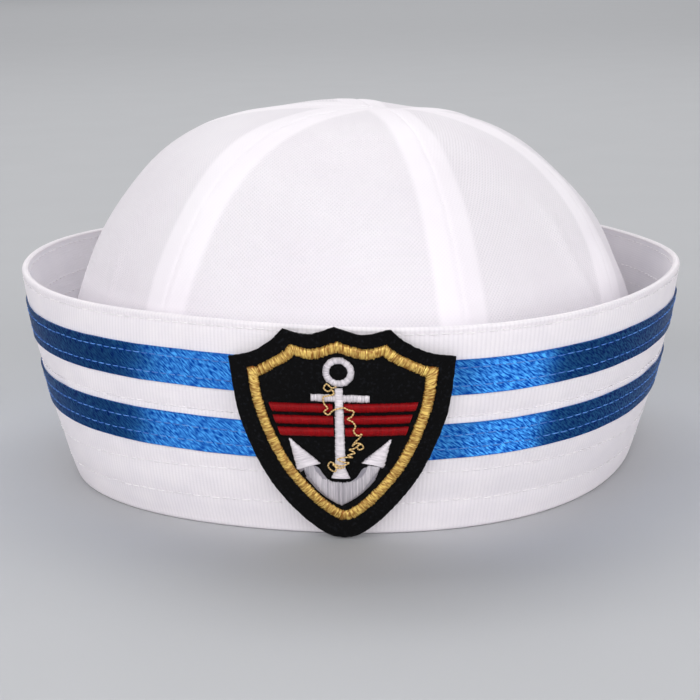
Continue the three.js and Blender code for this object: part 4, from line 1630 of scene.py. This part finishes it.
        path = np.concatenate([smooth, np.full((len(smooth), 1), base - 0.1)], axis=-1)[None]
        padding = tubes(path, np.maximum(widths - 0.5, 0.2),
                        np.minimum(1, widths / 2) * crown * 1.7, sides=10)
        # Painted shade: the padding takes almost the darkest tone, so the gaps between the threads
        # look shaded.
        padding.marks["tone"][:] = 0.05
        return joined([threads, padding])

    def border(self) -> Surface:
        """The gold border: threads from its outer to its inner edge all round the shield.

        Returns:
            The surface, in flat coordinates.
        """
        corners = shield_corners() + np.array(self.border_shift)
        outer = inset(corners, self.border_inset)
        inner = inset(corners, self.border_inset + self.border_width)
        middle = (outer + inner) / 2
        length = np.linalg.norm(np.roll(middle, -1, axis=0) - middle, axis=1)
        counts = np.maximum(1, np.round(length / self.pitch)).astype(int)
        outer, inner = round_outline(outer, counts), round_outline(inner, counts)
        close = [*range(len(outer)), 0]
        return self.satin(outer[close], inner[close], 0.85, np.random.default_rng(SEED + 1), 0.1,
                          glints=0.85, tones=(0.25, 0.85))

    def red_bars(self) -> Surface:
        """The six red bars, with upright threads.

        Returns:
            The surface, in flat coordinates.
        """
        rng = np.random.default_rng(SEED + 2)
        made = []
        half = self.bar_height / 2
        for y, left, right in self.bars:
            for side, end in ((-1, left), (1, right)):
                start, slant = side * self.bar_gap, side * self.bar_slant
                count = round(abs(end - start) / self.pitch)
                foot = np.linspace((start, y - half), (end - slant, y - half), count)
                top = np.linspace((start, y + half), (end + slant, y + half), count)
                made.append(self.satin(turned(foot), turned(top), 1.0, rng, 0.04, glints=0.1,
                                       tones=(0.5, 0.75)))
        return joined(made)

    def anchor(self) -> Surface:
        """The white anchor, part by part: stock, ring, arms, flukes, and the shank over them.

        Returns:
            The surface, in flat coordinates.
        """
        rng = np.random.default_rng(SEED + 3)
        left, right, low, high = self.stock
        x = np.linspace(left, right, round((right - left) / self.pitch))
        made = [self.satin(flat_points(x, low), flat_points(x, high), 0.6, rng, 0.07)]
        turn = np.linspace(0, 2 * math.pi, 64) + math.pi / 2
        spoke = flat_points(np.cos(turn), np.sin(turn))
        within, beyond = (self.eye + radius * spoke for radius in self.eye_radii)
        made.append(self.satin(within, beyond, 0.6, rng, 0.06))
        x = np.linspace(-self.arms_reach, self.arms_reach,
                        round(2 * self.arms_reach / self.arms_pitch))
        lower, upper = (bezier(np.linspace(0, 1, 40)[:, None], *pulls)
                        for pulls in (self.arms_low, self.arms_high))
        upper = np.concatenate([[self.arms_end], upper])
        foot, top = (np.interp(-np.abs(x), *edge.T) for edge in (lower, upper))
        # Painted shade: the arms get darker tones, as if they faced down away from the light.
        made.append(self.satin(flat_points(x, foot), flat_points(x, top), 0.65, rng, 0.1,
                               tones=(0.25, 0.7)))
        share = np.linspace(0.06, 1, 34)[:, None]
        for fluke in self.flukes:
            tip, left, right = np.array(fluke)
            bow = share ** 4 * (tip - (left + right) / 2) * 0.03
            # Painted light: the flukes get the lightest tones.
            made.append(self.satin(tip + share * (left - tip), tip + share * (right - tip), 0.6,
                                   rng, 0.08, self.felt_face + 0.2, bow, tones=(0.75, 1.0)))
        heights, halves = self.shank
        y = np.linspace(heights[-1], heights[0], round((heights[-1] - heights[0]) / self.pitch))
        half = np.interp(y, heights, halves)
        # Painted light: the shank gets light tones.
        made.append(self.satin(flat_points(-half, y), flat_points(half, y), 0.6, rng, 0.06,
                               self.felt_face + 0.3, tones=(0.7, 1.0)))
        return joined(made)

    def cord(self) -> Surface:
        """The thin gold cord that winds about the anchor in loose curls.

        Each stretch is a smooth run through its turns, with the height over the felt given.

        Returns:
            The surface, in flat coordinates.
        """
        felt, over = self.felt_face + 0.2, self.felt_face + 1.25
        stretches = (
            ((-0.6, 49.2, over), (-1.9, 48.6, felt + 0.4), (-3.3, 49.6, felt), (-4.1, 48.3, felt),
             (-3.0, 47.4, felt), (-1.9, 48.0, felt + 0.4), (-1.4, 46.8, felt + 0.5),
             (-2.9, 46.2, felt + 0.5), (-4.3, 45.9, over), (-4.1, 43.9, over), (-3.2, 42.6, over),
             (-4.2, 41.5, over), (-3.0, 40.6, over), (-1.9, 41.8, over), (-0.8, 42.4, over + 0.2),
             (1.2, 42.9, over + 0.2), (2.6, 42.2, over), (4.0, 41.8, over), (3.4, 40.2, over),
             (2.3, 39.4, over), (3.6, 38.6, over), (4.4, 37.2, over), (3.9, 35.7, over),
             (4.9, 34.3, over), (6.1, 34.8, over), (5.4, 33.2, felt), (4.2, 31.9, felt),
             (3.4, 30.6, felt)),
            ((3.4, 30.6, felt), (4.6, 31.7, felt + 0.3), (6.0, 31.3, felt + 0.3),
             (6.4, 30.1, felt + 0.2), (5.2, 29.7, felt + 0.5), (4.8, 30.8, felt + 0.6),
             (5.9, 31.6, felt + 0.5), (4.0, 29.9, felt), (2.6, 29.6, felt + 0.3),
             (4.1, 28.5, felt + 0.1), (2.2, 27.9, felt + 0.6), (3.4, 27.0, felt),
             (1.4, 27.4, over + 0.1), (-0.8, 26.7, over + 0.2), (0.9, 25.9, over + 0.2),
             (2.4, 25.6, over), (0.6, 24.7, over + 0.2), (-1.2, 24.9, over + 0.1),
             (-2.7, 25.4, felt), (-3.5, 24.2, felt), (-2.8, 22.9, felt), (-1.6, 22.7, over),
             (-1.2, 23.9, over), (-2.2, 24.8, felt + 0.3), (-0.4, 23.9, over + 0.2),
             (1.2, 24.2, over + 0.2)))
        made = []
        for i, turns in enumerate(stretches):
            path = smooth_run(np.array(turns), 7)
            twist = np.arange(len(path)) * self.cord_twist
            wide = self.cord_wide + self.cord_swell * np.sin(twist)
            thread = tubes(path[None], wide, self.cord_tall)
            # Painted highlight: the tone rises and falls with the twist, lighter where each turn of
            # the cord would catch the light.
            tone = 0.55 + 0.45 * np.sin(twist + i)
            thread.marks["tone"] = np.repeat(tone, THREAD_SIDES)
            made.append(thread)
        return joined(made)


def bezier(share: Array, start: Sequence[float], pull: Sequence[float],
           end: Sequence[float]) -> Array:
    """A quadratic Bezier curve: it leaves its start and reaches its end in line with a pull."""
    start, pull, end = np.array(start), np.array(pull), np.array(end)
    return start * (1 - share) ** 2 + pull * 2 * share * (1 - share) + end * share ** 2


# Studio


CAP_MIDDLE = (0.0, 0.0, 0.05)       # metres


@dataclass(frozen=True)
class Softbox:
    """A soft rectangular light that points at the cap.

    Attributes:
        name: Its name.
        azimuth: Where it stands, in degrees from the cap's front, to the right.
        elevation: How high, in degrees.
        distance: How far from the cap, in metres.
        size: Its width and height in metres.
        watts: Its power.
        aim: The point that it faces, in metres.
    """

    name: str
    azimuth: float
    elevation: float
    distance: float
    size: tuple[float, float]
    watts: float
    aim: tuple[float, float, float] = CAP_MIDDLE

    def build(self) -> None:
        """Makes the light."""
        data = bpy.data.lights.new(self.name, "AREA")
        data.shape = "RECTANGLE"
        data.size, data.size_y = self.size
        data.energy = self.watts
        lamp = bpy.data.objects.new(self.name, data)
        bpy.context.scene.collection.objects.link(lamp)
        azimuth, elevation = math.radians(self.azimuth), math.radians(self.elevation)
        level = self.distance * math.cos(elevation)
        lamp.location = (level * math.sin(azimuth), -level * math.cos(azimuth),
                         self.distance * math.sin(elevation) + CAP_MIDDLE[2])
        towards = Vector(self.aim) - lamp.location
        lamp.rotation_euler = towards.to_track_quat("-Z", "Y").to_euler()


@dataclass(frozen=True)
class Studio:
    """Pale floor, soft light and the photograph's camera."""

    softboxes: tuple[Softbox, ...] = (
        Softbox("front_softbox", 0, 22, 1.6, (1.95, 0.9), 11.3),
        Softbox("left_softbox", -53, 24, 1.6, (1.25, 0.9), 10.6),
        Softbox("right_softbox", 48, 16, 1.6, (0.9, 0.9), 9.6),
        Softbox("back_softbox", 180, 62, 2.2, (2.4, 1.2), 22),
        Softbox("floor_softbox", 180, 38, 5.2, (5.0, 4.0), 120, (0, 4.1, 0)),
    )
    sky: str = "#e4e6ea"
    sky_strength: float = 0.17
    camera_place: tuple[float, float, float] = (0.002068, -0.532519, 0.1644)
    camera_turn: tuple[float, float, float] = (76.02733, 1.084524, -0.005562)
    lens: float = 84.19

    def build(self) -> None:
        """Makes the floor, the lights, the sky and the camera."""
        floor = bpy.data.meshes.new("studio_floor")
        floor.from_pydata([(-4, -4, 0), (4, -4, 0), (4, 6, 0), (-4, 6, 0)], [], [(0, 1, 2, 3)])
        floor.materials.append(PaintedFloor().material())
        ground = bpy.data.objects.new("studio_floor", floor)
        bpy.context.scene.collection.objects.link(ground)
        for softbox in self.softboxes:
            softbox.build()
        world = bpy.data.worlds.new("studio_sky")
        world.use_nodes = True
        background = world.node_tree.nodes["Background"]
        background.inputs["Color"].default_value = linear(self.sky)
        background.inputs["Strength"].default_value = self.sky_strength
        bpy.context.scene.world = world
        data = bpy.data.cameras.new("photo_camera")
        data.sensor_width = 36
        data.lens = self.lens
        data.clip_start = 0.05
        data.clip_end = 30
        camera = bpy.data.objects.new("photo_camera", data)
        bpy.context.scene.collection.objects.link(camera)
        camera.location = self.camera_place
        camera.rotation_euler = tuple(math.radians(turn) for turn in self.camera_turn)
        bpy.context.scene.camera = camera
        bpy.context.scene.view_settings.view_transform = "Standard"


def main() -> None:
    """Builds the cap piece by piece, and the studio round it."""
    logging.basicConfig(level=logging.INFO, format="%(name)s %(message)s")
    Crown().build()
    Brim().build()
    satin = SatinRibbon().material()
    Ribbon("ribbon_upper", 0.683, 0.849).build(satin)
    Ribbon("ribbon_lower", 0.375, 0.548).build(satin)
    RunningStitches().build()
    Patch().build()
    Studio().build()


if __name__ == "__main__":
    main()
